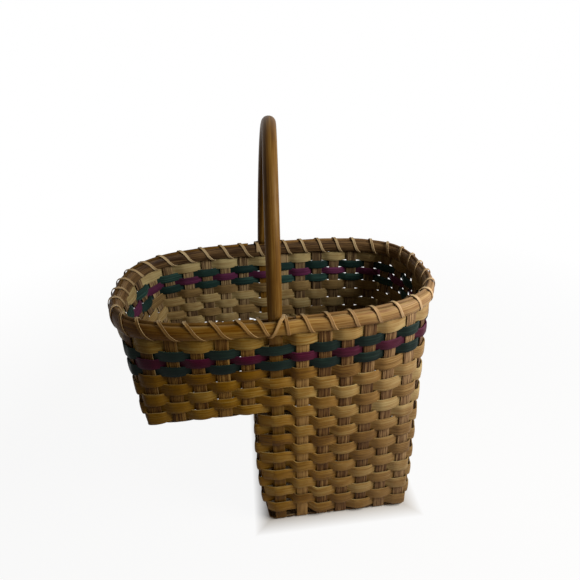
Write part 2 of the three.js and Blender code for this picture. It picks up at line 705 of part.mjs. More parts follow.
// The section of the lashing at one turn of its path, mitred to keep its thickness
function lashSection({ place, side, turn, rise }) {
  const [offset, height] = lashTurns[turn];
  const before = turn === 0 ? [-offset, height] : lashTurns[turn - 1];
  const mirrored = ([x, z]) => [-x, z];
  const after = turn === LASH_TOP ? mirrored(lashTurns[turn - 1]) : lashTurns[turn + 1];
  const unit = (a, b) => {
    const length = Math.hypot(b[0] - a[0], b[1] - a[1]);
    return [(b[0] - a[0]) / length, (b[1] - a[1]) / length];
  };
  const into = unit(before, [offset, height]);
  const onward = unit([offset, height], after);
  const away = [into[1] + onward[1], -(into[0] + onward[0])];
  const length = Math.hypot(...away);
  const miter = length / 2;
  const step = [away[0] / length / miter, away[1] / length / miter];
  const level = (depth) => {
    const reach = depth + rise;
    return [side * (offset + step[0] * reach), RIM_BOTTOM + height + step[1] * reach];
  };
  const [innerOffset, innerZ] = level(-LASH_THICKNESS / 2);
  const [outerOffset, outerZ] = level(LASH_THICKNESS / 2);
  const along = bundlePoint(place + ASIDE, innerOffset, innerZ)
    .sub(bundlePoint(place - ASIDE, innerOffset, innerZ))
    .normalize()
    .multiplyScalar(LASH_WIDTH / 2);
  const inner = bundlePoint(place, innerOffset, innerZ);
  const outer = bundlePoint(place, outerOffset, outerZ);
  return [
    inner.clone().sub(along),
    inner.clone().add(along),
    outer.clone().add(along),
    outer.clone().sub(along),
  ];
}

// The lashing goes round the bundle once for each stake: through the gap under the rims, up the
// inside, over the top and down the outside to the next gap. At the handle that it starts by, it
// crosses the rod's foot on the outside.
function lashStrand(first, last) {
  const stops = [];
  for (let stake = first; stake <= last; stake += 1) {
    const isStart = stake === first;
    const start = stake - 0.5 + (isStart ? LASH_IN_GAP : 0);
    const end = stake + 0.5 - (stake === last ? LASH_IN_GAP : 0);
    const top = isStart ? stake - LASH_BY_ROD : stake;
    const rise = isStart ? SWELL_RISE_HEIGHT : 0;
    stops.push(lashStop(start, -1, 0));
    stops.push(lashStop(mix(start, top, RISING.low), -1, 1));
    stops.push(lashStop(mix(start, top, RISING.high), -1, 2));
    stops.push(lashStop(top, 1, LASH_TOP, rise));
    stops.push(lashStop(mix(top, end, FALLING.high), 1, 2, rise));
    stops.push(lashStop(mix(top, end, FALLING.low), 1, 1));
    stops.push(lashStop(end, 1, 0));
  }
  stops.push(lashStop(last + 0.5 - LASH_IN_GAP, -1, 0));
  return stops;
}

// The tie crosses the strand on the outside of the handle and is tucked under both rims
function tieStops(handle) {
  const top = handle + LASH_BY_ROD;
  const end = handle - TIE_END;
  return [
    lashStop(mix(handle, top, TIE_RISING.under), -1, 0),
    lashStop(mix(handle, top, TIE_RISING.low), -1, 1),
    lashStop(mix(handle, top, TIE_RISING.high), -1, 2),
    lashStop(top, 1, LASH_TOP, SWELL_RISE_HEIGHT),
    lashStop(mix(top, end, TIE_FALLING.high), 1, 2, TIE_RISE),
    lashStop(mix(top, end, TIE_FALLING.low), 1, 1, TIE_RISE),
    lashStop(end, 1, 0, TIE_RISE),
  ];
}

const lashGeometry = (stops) => loft(stops.map(lashSection), false);

// Least distance between turns of one strand, from the middles of its sections
function leastGap(stops) {
  const middles = stops.map((stop) => {
    const section = lashSection(stop);
    return section.reduce((sum, corner) => sum.add(corner), vec(0, 0, 0)).divideScalar(section.length);
  });
  const turnStops = 2 * LASH_TOP + 1;
  let least = Infinity;
  middles.forEach((a, i) => {
    for (let j = i + turnStops - 1; j < middles.length; j += 1) {
      least = Math.min(least, a.distanceTo(middles[j]) - LASH_WIDTH);
    }
  });
  return least;
}

const basket = new THREE.Group();

function add(name, geometry, finish) {
  const mesh = new THREE.Mesh(geometry, finish);
  mesh.name = name;
  basket.add(mesh);
}

add('handle', makeHandle(), material(WOOD.handle, SANDED));
add('rim_outer', makeRim(1), material(WOOD.rimOuter, SANDED));
add('rim_inner', makeRim(-1), material(WOOD.rimInner, SANDED));
add('rim_filler_deep_side', makeFiller(1, BACK_HANDLE_PLACE - 1), material(REED.filler));
add(
  'rim_filler_step_side',
  makeFiller(BACK_HANDLE_PLACE + 1, allUprights.length - 1),
  material(REED.filler),
);

const strands = {
  lashing_deep_side: lashStrand(0, BACK_HANDLE_PLACE - 1),
  lashing_step_side: lashStrand(BACK_HANDLE_PLACE, allUprights.length - 1),
};
for (const [name, stops] of Object.entries(strands)) {
  add(name, lashGeometry(stops), material(REED.lashing));
  console.log(`${name}: least gap to itself ${leastGap(stops).toFixed(1)} mm`);
}
add('handle_tie_front', lashGeometry(tieStops(0)), material(REED.lashing));
add('handle_tie_back', lashGeometry(tieStops(BACK_HANDLE_PLACE)), material(REED.lashing));

// Heights of the rows' middles on one half of the basket: the band from the lower green row up,
// and the natural rows from the top down
function rowHeights(bandDepth, bandPitch, lowest, count) {
  const band = countUp(0, 2).map((i) => RIM_ROW_Z - bandDepth - (2 - i) * bandPitch);
  const top = band[0] - GREEN_WIDTH / 2;
  const pitch = (top - lowest) / count;
  const natural = countUp(0, count - 1).map((i) => top - (i + 0.5) * pitch);
  return { band, natural, pitch };
}

const naturalCount = COMMON_ROW_COUNT + DEEP_ROW_COUNT;
const deepHeights = rowHeights(BAND_DEPTH, BAND_PITCH, LOWEST_ROW_HEIGHT, naturalCount);
const stepHeights = rowHeights(
  STEP_BAND_DEPTH,
  STEP_BAND_PITCH,
  STEP_HEIGHT + STEP_LOWEST_ROW_HEIGHT,
  COMMON_ROW_COUNT,
);
const deepWidth = deepHeights.pitch - DEEP_ROW_GAP;
const commonWidth = stepHeights.pitch - COMMON_ROW_GAP;
const bandRows = [
  ['row_green_lower', GREEN_WIDTH, REED.green],
  ['row_purple', PURPLE_WIDTH, REED.purple],
  ['row_green_upper', GREEN_WIDTH, REED.green],
];

// Odd rows, counted from the lower green one, pass the handle on the inside
add(
  'row_under_rim',
  wovenRow(allUprights, 1, RIM_ROW_Z, RIM_ROW_Z, RIM_ROW_WIDTH),
  material(REED.rimRow),
);
bandRows.forEach(([name, width, color], i) => {
  const row = wovenRow(allUprights, i % 2, deepHeights.band[i], stepHeights.band[i], width);
  add(name, row, material(color));
});
deepHeights.natural.forEach((deepHeight, i) => {
  const isCommon = i < COMMON_ROW_COUNT;
  const first = (i + 1) % 2;
  const row = isCommon
    ? wovenRow(allUprights, first, deepHeight, stepHeights.natural[i], commonWidth)
    : wovenRow(deepUprights, first, deepHeight, deepHeight, deepWidth);
  const name = `row_natural_${String(i + 1).padStart(2, '0')}`;
  add(name, row, material(isCommon ? REED.commonRow : REED.deepRow));
});

countUp(0, LONG_STAKE_COUNT - 1).forEach((k) =>
  add(`long_stake_${k + 1}`, longStake(k), material(REED.stake)),
);
countUp(1, DEEP_CROSS_COUNT).forEach((j) =>
  add(
    `deep_cross_stake_${j}`,
    crossStake(deepUpright(-1, j), deepUpright(1, j), 0, DEEP_BEND_RADIUS, LONG_PITCH_DEEP, j),
    material(REED.stake),
  ),
);
countUp(1, STEP_CROSS_COUNT).forEach((j) =>
  add(
    `step_cross_stake_${j}`,
    crossStake(stepUpright(-1, j), stepUpright(1, j), STEP_HEIGHT, STEP_BEND_RADIUS, LONG_PITCH_STEP, j),
    material(REED.stake),
  ),
);

let triangles = 0;
basket.traverse((piece) => {
  if (piece.isMesh) triangles += piece.geometry.index.count / 3;
});
console.log(`${basket.children.length} pieces, ${triangles} triangles`);

export default basket;
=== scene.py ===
import math
import random

import bpy
from mathutils import Matrix, Vector


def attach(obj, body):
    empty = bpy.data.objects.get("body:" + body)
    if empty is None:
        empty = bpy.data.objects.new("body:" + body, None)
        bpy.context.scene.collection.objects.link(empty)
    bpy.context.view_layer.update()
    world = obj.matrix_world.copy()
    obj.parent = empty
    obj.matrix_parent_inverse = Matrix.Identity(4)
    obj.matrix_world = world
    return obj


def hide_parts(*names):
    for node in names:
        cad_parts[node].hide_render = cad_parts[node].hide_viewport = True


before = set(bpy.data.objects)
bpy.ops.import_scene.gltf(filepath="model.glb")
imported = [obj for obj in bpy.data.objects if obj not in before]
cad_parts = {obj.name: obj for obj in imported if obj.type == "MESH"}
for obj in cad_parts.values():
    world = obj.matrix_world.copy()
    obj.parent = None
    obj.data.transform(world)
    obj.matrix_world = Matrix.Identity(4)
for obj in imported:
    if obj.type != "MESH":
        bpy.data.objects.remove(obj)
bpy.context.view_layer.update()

# Floor, light and camera. The basket stands on a matt floor, with one large soft lamp over it on
# the right and a little in front, and a weak warm light from the room. To the camera the floor is
# near white round the basket and full white further off. It keeps its own shade under the base.
FLOOR_SIZE = 8.0
FLOOR_WHITE = "#cdc8c0"
NEAR_GLOW = 0.93
GLOW_START = 0.5
GLOW_FULL = 1.2
SHADE_PLACE = (0.071, 0.0, 0.0)
SHADE_HALF_SIZE = (0.100, 0.116, 0.0)
SHADE_EDGE = 0.025
ROOM_COLOUR = "#ffe6c4"
ROOM_STRENGTH = 0.115
KEY_PLACE = (0.64, -0.38, 0.74)
KEY_TARGET = (0.0, 0.0, 0.2)
KEY_SIZE = 0.45
KEY_WATTS = 9.3
CAMERA_PLACE = (-0.02840866, -0.58027316, 0.61532542)
CAMERA_YAW = 0.0888931
CAMERA_PITCH = 0.4706244
CAMERA_ROLL = -0.0420878
LENS = 28.890
SENSOR = 36.0


def linear(hex_colour):
    """sRGB hex to the linear colour that Blender's sockets take."""
    channels = [int(hex_colour[i:i + 2], 16) / 255 for i in (1, 3, 5)]
    return [c / 12.92 if c <= 0.04045 else ((c + 0.055) / 1.055) ** 2.4 for c in channels] + [1.0]


def add_node(tree, kind, sockets=None, **settings):
    """Adds a node. Each socket, by name or number, gets a value or a link from an output."""
    node = tree.nodes.new(kind)
    for setting, value in settings.items():
        setattr(node, setting, value)
    for socket, value in (sockets or {}).items():
        if isinstance(value, bpy.types.NodeSocket):
            tree.links.new(value, node.inputs[socket])
        else:
            node.inputs[socket].default_value = value
    return node


def new_material(name):
    made = bpy.data.materials.new(name)
    made.use_nodes = True
    made.node_tree.nodes.clear()
    return made, made.node_tree


def seen_directly(tree):
    """1 where the camera, or a gloss or glass that the camera sees, looks at the surface."""
    rays = add_node(tree, "ShaderNodeLightPath").outputs
    seen = rays["Is Camera Ray"]
    for ray in ("Is Glossy Ray", "Is Transmission Ray"):
        seen = add_node(
            tree, "ShaderNodeMath", {0: seen, 1: rays[ray]}, operation="MAXIMUM",
        ).outputs[0]
    return seen


bpy.context.scene.view_settings.view_transform = "Standard"

bpy.ops.object.select_all(action="DESELECT")
bpy.ops.mesh.primitive_plane_add(size=FLOOR_SIZE)
floor = bpy.context.object
floor.name = "floor"
floor_paint, tree = new_material("matt_floor_paint")
place = add_node(tree, "ShaderNodeTexCoord").outputs["Object"]
far = add_node(tree, "ShaderNodeVectorMath", {0: place}, operation="LENGTH")
spread_glow = add_node(
    tree, "ShaderNodeMapRange",
    {"Value": far.outputs["Value"], "From Min": GLOW_START, "From Max": GLOW_FULL,
     "To Min": NEAR_GLOW, "To Max": 1.0},
)
offset = add_node(tree, "ShaderNodeVectorMath", {0: place, 1: SHADE_PLACE}, operation="SUBTRACT")
distance = add_node(tree, "ShaderNodeVectorMath", {0: offset.outputs[0]}, operation="ABSOLUTE")
beyond = add_node(
    tree, "ShaderNodeVectorMath", {0: distance.outputs[0], 1: SHADE_HALF_SIZE}, operation="SUBTRACT",
)
xy = add_node(tree, "ShaderNodeSeparateXYZ", {0: beyond.outputs[0]}).outputs
outside = add_node(tree, "ShaderNodeMath", {0: xy["X"], 1: xy["Y"]}, operation="MAXIMUM")
clear = add_node(
    tree, "ShaderNodeMapRange", {"Value": outside.outputs[0], "From Min": 0.0, "From Max": SHADE_EDGE},
)
glowing = add_node(
    tree, "ShaderNodeMath", {0: spread_glow.outputs[0], 1: clear.outputs[0]}, operation="MULTIPLY",
)
share = add_node(
    tree, "ShaderNodeMath", {0: seen_directly(tree), 1: glowing.outputs[0]}, operation="MULTIPLY",
)
matt = add_node(tree, "ShaderNodeBsdfDiffuse", {"Color": linear(FLOOR_WHITE)})
glow = add_node(tree, "ShaderNodeEmission", {"Strength": 1.0})
both = add_node(
    tree, "ShaderNodeMixShader", {0: share.outputs[0], 1: matt.outputs[0], 2: glow.outputs[0]},
)
add_node(tree, "ShaderNodeOutputMaterial", {"Surface": both.outputs[0]})
floor.data.materials.append(floor_paint)

world = bpy.data.worlds.new("room")
world.use_nodes = True
world.node_tree.nodes.clear()
tree = world.node_tree
bpy.context.scene.world = world
room = add_node(
    tree, "ShaderNodeBackground", {"Color": linear(ROOM_COLOUR), "Strength": ROOM_STRENGTH},
)
white = add_node(tree, "ShaderNodeBackground", {"Color": (1, 1, 1, 1), "Strength": 1.0})
both = add_node(
    tree, "ShaderNodeMixShader", {0: seen_directly(tree), 1: room.outputs[0], 2: white.outputs[0]},
)
add_node(tree, "ShaderNodeOutputWorld", {"Surface": both.outputs[0]})

bpy.ops.object.light_add(type="AREA", location=KEY_PLACE)
key = bpy.context.object
key.name = "key_light"
key.data.shape = "DISK"
key.data.size = KEY_SIZE
key.data.energy = KEY_WATTS
aim = Vector(KEY_TARGET) - Vector(KEY_PLACE)
key.rotation_euler = aim.to_track_quat("-Z", "Y").to_euler()
key.visible_camera = False

bpy.ops.object.camera_add(location=CAMERA_PLACE)
camera = bpy.context.object
turn = (
    Matrix.Rotation(-CAMERA_YAW, 3, "Z")
    @ Matrix.Rotation(math.pi / 2 - CAMERA_PITCH, 3, "X")
    @ Matrix.Rotation(CAMERA_ROLL, 3, "Z")
)
camera.rotation_euler = turn.to_euler()
camera.data.sensor_width = SENSOR
camera.data.lens = LENS
bpy.context.scene.camera = camera

# Stakes. Strips of flat rattan reed that cross in a plain weave in both bases, where they are still
# wet, and are then bent up into the walls. A long stake runs through both bases and up the riser
# between them. Their upper ends are cut level and clamped by the rims.
MM = 0.001
RIM_LENGTH = 430
RIM_WIDTH = 257
RIM_TOP = 344
RIM_HEIGHT = 19
RIM_THICKNESS = 6.5
RIM_SQUARENESS = 3.07
STEP_HEIGHT = 205
DEEP_END_DRAW_IN = 42
STEP_END_DRAW_IN = 42
DEEP_SIDE_DRAW_IN = 11.5
STEP_SIDE_DRAW_IN = 9.5
RISER_FOOT_X = -31
RISER_HEAD_X = -35
RISER_BELLY = 5
DEEP_END_BELLY = 2.6
STEP_END_BELLY = 3.4
CORNER_BELLY = 1.2
CORNER_START_X = 140
STAKE_WIDTH = 15.9
STAKE_THICKNESS = 1.2
CLEARANCE = 0.3
DEEP_BEND_RADIUS = 2.6
STEP_BEND_RADIUS = 2
RISER_BEND_RADIUS = 3
FLAT_LEAD = 0.7
BEND_LEAD = 0.6
LONG_COUNT = 7
DEEP_CROSS_COUNT = 6
STEP_CROSS_COUNT = 5
FOOT_GAP_BY_HANDLE = 31.5
HEAD_GAP_BY_HANDLE = 32
DEEP_END_HEAD_GAP = 51.2
STEP_END_HEAD_GAP = 56.8
STAKE_TOP_DROP = 3
HANDLE_HEAD_X = -6.2
HANDLE_FOOT_X = -14.4
TAIL_WIDTH = 15.9
TAIL_THICKNESS = 1.8
STATION_STEP = 4.0
BEND_STEPS = 6
REED_COLUMNS = 4
REED_EDGE_ROUND = 0.4
STAKE_CUP = 0.25
STAKE_SWAY = 0.35
SWAY_REACH = 8.0
EDGE_PULL = 2.6
EDGE_LIFT = 1.1
GAP_PULL = 2.0
GAP_LIFT = 1.6
GAP_EASE = 5
OVAL_STEPS = 400
WELD_DISTANCE = 1e-6
MIDDLE_TONE = 0.5
DRIFT_SCALE = 1.5
PATTERN_SHIFT = 5
INSIDE_SHARPNESS = 1.5
INSIDE_TOP_SHARE = 0.4
BEVEL_ANGLE = math.radians(60)
REED_CREASE = math.radians(50)

DEEP_END_FOOT_X = RIM_LENGTH / 2 - DEEP_END_DRAW_IN
STEP_END_FOOT_X = STEP_END_DRAW_IN - RIM_LENGTH / 2
DEEP_FOOT_Y = RIM_WIDTH / 2 - DEEP_SIDE_DRAW_IN
STEP_FOOT_Y = RIM_WIDTH / 2 - STEP_SIDE_DRAW_IN
DEEP_WALL_GAP = DEEP_BEND_RADIUS + BEND_LEAD + FLAT_LEAD + STAKE_WIDTH / 2
STEP_WALL_GAP = STEP_BEND_RADIUS + BEND_LEAD + FLAT_LEAD + STAKE_WIDTH / 2
DEEP_PITCH = 2 * (DEEP_FOOT_Y - DEEP_WALL_GAP) / (LONG_COUNT - 1)
STEP_PITCH = 2 * (STEP_FOOT_Y - STEP_WALL_GAP) / (LONG_COUNT - 1)
RIM_BOTTOM = RIM_TOP - RIM_HEIGHT
STAKE_TOP = RIM_TOP - STAKE_TOP_DROP
HALF_STAKE = STAKE_THICKNESS / 2
HEAD_A = RIM_LENGTH / 2 - RIM_THICKNESS - CLEARANCE - HALF_STAKE
HEAD_B = RIM_WIDTH / 2 - RIM_THICKNESS - CLEARANCE - HALF_STAKE
BASE_MIDDLE = STAKE_THICKNESS + CLEARANCE / 2
STEP_MIDDLE = STEP_HEIGHT + BASE_MIDDLE
DEEP_FOOT_Z = BASE_MIDDLE + DEEP_BEND_RADIUS
STEP_FOOT_Z = STEP_MIDDLE + STEP_BEND_RADIUS

# Rows of the walls, as heights of their middles: the row at the stake ends, the dyed band of
# three, and the natural rows from the top down. Over the shallow half they lie closer.
COMMON_ROW_COUNT = 5
DEEP_ROW_COUNT = 11
NATURAL_COUNT = COMMON_ROW_COUNT + DEEP_ROW_COUNT
RIM_ROW_Z = RIM_TOP - 27.4
DEEP_BAND_DROP = 14.2
DEEP_BAND_PITCH = 11.8
STEP_BAND_DROP = 13.3
STEP_BAND_PITCH = 10.5
DEEP_BAND = [RIM_ROW_Z - DEEP_BAND_DROP - DEEP_BAND_PITCH * i for i in (2, 1, 0)]
STEP_BAND = [RIM_ROW_Z - STEP_BAND_DROP - STEP_BAND_PITCH * i for i in (2, 1, 0)]
DEEP_NATURAL_DROP = 14.1
DEEP_LOWEST_Z = 18.9
STEP_NATURAL_DROP = 12.05
STEP_LOWEST_Z = STEP_HEIGHT + 12.05
# The deep half's own rows are beaten up towards the handle, and the natural ones sag at the front
# of the deep end. The pairs say from where to where each of these sets in.
LIFT_X = (70, -45)
BEATEN_UP = 11.6
BEATEN_X = (54, -12)
SAG = 2.4
SAG_X = (52, 84)

UP = Vector((0, 0, 1))
DOWN = -UP
RIGHT = Vector((1, 0, 0))
LEFT = -RIGHT
BACKWARD = Vector((0, 1, 0))
dice = random.Random(11)


def mix(a, b, t):
    return a + (b - a) * t


def ease(t):
    t = min(max(t, 0.0), 1.0)
    return t * t * (3 - 2 * t)


def past(value, start, end):
    """0 before start and 1 beyond end, with a smooth rise between. End may be the smaller one."""
    return ease((value - start) / (end - start))


def spread(first, last, count):
    return [mix(first, last, i / (count - 1)) for i in range(count)]


def raised(value, power):
    """A power that keeps the sign, for ovals that are squarer or fuller than an ellipse."""
    return math.copysign(abs(value) ** power, value)


DEEP_NATURAL = spread(DEEP_BAND[0] - DEEP_NATURAL_DROP, DEEP_LOWEST_Z, NATURAL_COUNT)
STEP_NATURAL = spread(STEP_BAND[0] - STEP_NATURAL_DROP, STEP_LOWEST_Z, COMMON_ROW_COUNT)


def climb(x):
    """How far a row has risen from its height over the deep half to that over the shallow one."""
    return past(x, *LIFT_X)


class Row:
    """Heights of a woven row: over the deep and the shallow half, and how it gives in between."""

    def __init__(self, ring, first, deep_height, step_height, sag=0.0, beaten_up=0.0):
        self.ring = ring
        self.first = first
        self.deep_height = deep_height
        self.step_height = step_height
        self.sag = sag
        self.beaten_up = beaten_up
        for place, upright in enumerate(ring):
            upright.rows.append((self.level(upright), self.outside(place)))

    def outside(self, place):
        return 1 if place % 2 == self.first else -1

    def level(self, upright):
        x = upright.at(self.deep_height).x
        return (
            mix(self.deep_height, self.step_height, climb(x))
            - self.sag * past(x, *SAG_X) * (upright.foot.y < 0)
            + self.beaten_up * past(x, *BEATEN_X)
        )


def oval_point(angle):
    power = 2 / RIM_SQUARENESS
    return HEAD_A * raised(math.cos(angle), power), HEAD_B * raised(math.sin(angle), power)


def oval_y(x):
    return HEAD_B * (1 - abs(x / HEAD_A) ** RIM_SQUARENESS) ** (1 / RIM_SQUARENESS)


def oval_facing(x, y):
    power = RIM_SQUARENESS - 1
    return math.atan2(raised(y / HEAD_B, power) / HEAD_B, raised(x / HEAD_A, power) / HEAD_A)


def end_heads(x):
    """Heads of the long stakes, which divide one end of the oval evenly between the cross ones."""
    reach = math.acos(abs(x / HEAD_A) ** (RIM_SQUARENESS / 2))
    middle = 0.0 if x > 0 else math.pi
    points = [oval_point(angle) for angle in spread(middle - reach, middle + reach, OVAL_STEPS + 1)]
    lengths = [0.0]
    for a, b in zip(points, points[1:]):
        lengths.append(lengths[-1] + math.dist(a, b))
    heads = []
    for k in range(1, LONG_COUNT + 1):
        wanted = lengths[-1] * k / (LONG_COUNT + 1)
        i = next(i for i, length in enumerate(lengths) if length >= wanted)
        t = (wanted - lengths[i - 1]) / (lengths[i] - lengths[i - 1])
        heads.append([mix(a, b, t) for a, b in zip(points[i - 1], points[i])])
    return heads


class Upright:
    """A stake's run up a wall. It is bent up square to its base, and turns on its way up to face
    as the rim does."""

    def __init__(self, foot, head, foot_facing, thickness=STAKE_THICKNESS, belly=0.0):
        self.foot = Vector(foot)
        self.head = Vector(head)
        self.thickness = thickness
        self.belly = belly
        self.facing = foot_facing
        turn = oval_facing(head[0], head[1]) - foot_facing
        self.twist = math.atan2(math.sin(turn), math.cos(turn))
        self.rows = []

    def at(self, z):
        t = (z - self.foot.z) / (self.head.z - self.foot.z)
        return self.foot.lerp(self.head, t) + self.out(z) * (self.belly * 4 * t * (1 - t))

    def out(self, z):
        share = min(1.0, (z - self.foot.z) / (RIM_BOTTOM - self.foot.z))
        facing = self.facing + self.twist * share
        return Vector((math.cos(facing), math.sin(facing), 0))

    def along(self, z):
        out = self.out(z)
        return Vector((-out.y, out.x, 0))


class RiserUpright(Upright):
    """A long stake's run up the riser, which doesn't turn."""

    def out(self, z):
        return LEFT


def side_upright(side, foot_x, foot_y, foot_z, head_x, thickness=STAKE_THICKNESS):
    belly = CORNER_BELLY if abs(head_x) > CORNER_START_X else 0.0
    return Upright(
        (foot_x, side * foot_y, foot_z), (head_x, side * oval_y(head_x), RIM_TOP),
        side * math.pi / 2, thickness, belly,
    )


def long_y(k, pitch):
    return (k - (LONG_COUNT - 1) / 2) * pitch


deep_foot_x = [HANDLE_FOOT_X] + spread(
    HANDLE_FOOT_X + FOOT_GAP_BY_HANDLE, DEEP_END_FOOT_X - DEEP_WALL_GAP, DEEP_CROSS_COUNT
)
step_foot_x = spread(
    RISER_HEAD_X - STEP_WALL_GAP, STEP_END_FOOT_X + STEP_WALL_GAP, STEP_CROSS_COUNT
)
deep_head_x = spread(
    HANDLE_HEAD_X + HEAD_GAP_BY_HANDLE, RIM_LENGTH / 2 - DEEP_END_HEAD_GAP, DEEP_CROSS_COUNT
)
step_head_x = spread(
    HANDLE_HEAD_X - HEAD_GAP_BY_HANDLE, STEP_END_HEAD_GAP - RIM_LENGTH / 2, STEP_CROSS_COUNT
)
handle_uprights = [
    side_upright(side, HANDLE_FOOT_X, DEEP_FOOT_Y, DEEP_FOOT_Z, HANDLE_HEAD_X, TAIL_THICKNESS)
    for side in (-1, 1)
]
deep_cross_uprights = [
    [side_upright(side, foot, DEEP_FOOT_Y, DEEP_FOOT_Z, head) for side in (-1, 1)]
    for foot, head in zip(deep_foot_x[1:], deep_head_x)
]
step_cross_uprights = [
    [side_upright(side, foot, STEP_FOOT_Y, STEP_FOOT_Z, head) for side in (-1, 1)]
    for foot, head in zip(step_foot_x, step_head_x)
]
deep_end_uprights = [
    Upright(
        (DEEP_END_FOOT_X, long_y(k, DEEP_PITCH), DEEP_FOOT_Z), (*head, RIM_TOP), 0.0,
        belly=DEEP_END_BELLY,
    )
    for k, head in enumerate(end_heads(deep_head_x[-1]))
]
step_end_uprights = [
    Upright(
        (STEP_END_FOOT_X, long_y(k, STEP_PITCH), STEP_FOOT_Z), (*head, RIM_TOP), math.pi,
        belly=STEP_END_BELLY,
    )
    for k, head in enumerate(reversed(end_heads(step_head_x[-1])))
]
riser_uprights = [
    RiserUpright(
        (RISER_FOOT_X, long_y(k, DEEP_PITCH), DEEP_FOOT_Z),
        (RISER_HEAD_X, long_y(k, STEP_PITCH), STEP_MIDDLE - STEP_BEND_RADIUS), math.pi,
        belly=RISER_BELLY,
    )
    for k in range(LONG_COUNT)
]

# All uprights anticlockwise from the front of the handle, seen from above
shared_uprights = (
    [handle_uprights[0]]
    + [pair[0] for pair in deep_cross_uprights]
    + deep_end_uprights
    + [pair[1] for pair in reversed(deep_cross_uprights)]
    + [handle_uprights[1]]
)
deep_ring = shared_uprights + riser_uprights[::-1]
whole_ring = (
    shared_uprights
    + [pair[1] for pair in step_cross_uprights]
    + step_end_uprights[::-1]
    + [pair[0] for pair in reversed(step_cross_uprights)]
)
RING_COUNT = len(whole_ring)
BACK_PLACE = len(shared_uprights) - 1


rim_row = Row(whole_ring, 1, RIM_ROW_Z, RIM_ROW_Z)
band_rows = [Row(whole_ring, i % 2, DEEP_BAND[i], STEP_BAND[i]) for i in range(3)]
natural_rows = [
    Row(whole_ring, (i + 1) % 2, DEEP_NATURAL[i], STEP_NATURAL[i], SAG) if i < COMMON_ROW_COUNT
    else Row(deep_ring, (i + 1) % 2, DEEP_NATURAL[i], DEEP_NATURAL[i], SAG, BEATEN_UP)
    for i in range(NATURAL_COUNT)
]


def sway(upright, z):
    """How far the rows push a stake off its straight line, outwards."""
    pushes = (
        -side * math.cos(math.pi / 2 * min(abs(z - row) / SWAY_REACH, 1)) ** 2
        for row, side in upright.rows
    )
    return STAKE_SWAY * sum(pushes)


def mark_inside(piece):
    """Says for each point how far it faces into the basket, 0 to 1."""
    mesh = piece.data
    inside = mesh.attributes.new("inside", "FLOAT", "POINT")
    values = []
    for vertex in mesh.vertices:
        place, normal = vertex.co, vertex.normal
        outwards = (place.x * normal.x + place.y * normal.y) / math.hypot(place.x, place.y)
        facing = 0.5 - INSIDE_SHARPNESS * (outwards - INSIDE_TOP_SHARE * normal.z)
        values.append(min(1.0, max(0.0, facing)))
    inside.data.foreach_set("value", values)


def add_sheet(name, rows, tones):
    """A grid mesh through rows of points. Each row has a tone, and the tones repeat."""
    columns = len(rows[0])
    bpy.ops.object.select_all(action="DESELECT")
    bpy.ops.mesh.primitive_grid_add(x_subdivisions=columns - 1, y_subdivisions=len(rows) - 1)
    sheet = bpy.context.object
    sheet.name = name
    mesh = sheet.data
    mesh.vertices.foreach_set("co", [c for row in rows for point in row for c in point * MM])
    tone = mesh.attributes.new("tone", "FLOAT", "POINT")
    row_tones = [tones[i % len(tones)] for i in range(len(rows))]
    tone.data.foreach_set("value", [value for value in row_tones for _ in range(columns)])
    return sheet


def running_length(points, start):
    lengths = [start]
    for a, b in zip(points, points[1:]):
        lengths.append(lengths[-1] + (b - a).length * MM)
    return lengths


def lay_grain(mesh, columns, place):
    """UV in metres, along the grain and across it, as place gives it for a row and a column."""
    uv = mesh.uv_layers.active.data
    for loop in mesh.loops:
        uv[loop.index].uv = place(*divmod(loop.vertex_index, columns))


# Steps of mesh editing, with their settings
WELD = (bpy.ops.mesh.remove_doubles, {"threshold": WELD_DISTANCE})
CLOSE_ENDS = (bpy.ops.mesh.fill_holes, {"sides": 0})
FACE_OUTWARDS = (bpy.ops.mesh.normals_make_consistent, {"inside": False})


def edit_mesh(*steps):
    bpy.ops.object.mode_set(mode="EDIT")
    for step, settings in steps:
        bpy.ops.mesh.select_all(action="SELECT")
        step(**settings)
    bpy.ops.object.mode_set(mode="OBJECT")


def modify(piece, kind, **settings):
    bpy.ops.object.modifier_add(type=kind)
    modifier = piece.modifiers[-1]
    for setting, value in settings.items():
        setattr(modifier, setting, value)
    bpy.ops.object.modifier_apply(modifier=modifier.name)


def finish_piece(piece, material, node):
    piece.data.materials.clear()
    piece.data.materials.append(material)
    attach(piece, "root")
    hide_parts(node)


def lay_reed(node, stations, thickness, cup, material, closed=False, tones=(MIDDLE_TONE,)):
    """A piece of flat reed. Each station has its two edges and the cupping of its middle."""
    if closed:
        stations = stations + [stations[0]]
    middles = [(left + right) / 2 for left, right, _ in stations]
    last = len(stations) - 1
    rows = []
    for i, (left, right, bow) in enumerate(stations):
        before = middles[i - 1] if i else (middles[-2] if closed else middles[0])
        after = middles[i + 1] if i < last else (middles[1] if closed else middles[-1])
        normal = (after - before).cross(right - left).normalized()
        rows.append([
            left.lerp(right, share) + normal * (cup * bow * (1 - (2 * share - 1) ** 2))
            for share in spread(0, 1, REED_COLUMNS + 1)
        ])
    strip = add_sheet(f"{node}_reed", rows, tones)
    lengths = running_length(middles, dice.uniform(0, PATTERN_SHIFT))
    widths = [(right - left).length * MM for left, right, _ in stations]
    lay_grain(
        strip.data, REED_COLUMNS + 1,
        lambda i, column: (lengths[i], (column / REED_COLUMNS - 0.5) * widths[i]),
    )
    strip.data.update()
    if closed:
        edit_mesh(WELD)
    modify(strip, "SOLIDIFY", thickness=thickness * MM, offset=0)
    modify(
        strip, "BEVEL", width=REED_EDGE_ROUND * MM, segments=2, limit_method="ANGLE",
        angle_limit=BEVEL_ANGLE,
    )
    edit_mesh(FACE_OUTWARDS)
    bpy.ops.object.shade_smooth_by_angle(angle=REED_CREASE)
    mark_inside(strip)
    finish_piece(strip, material, node)


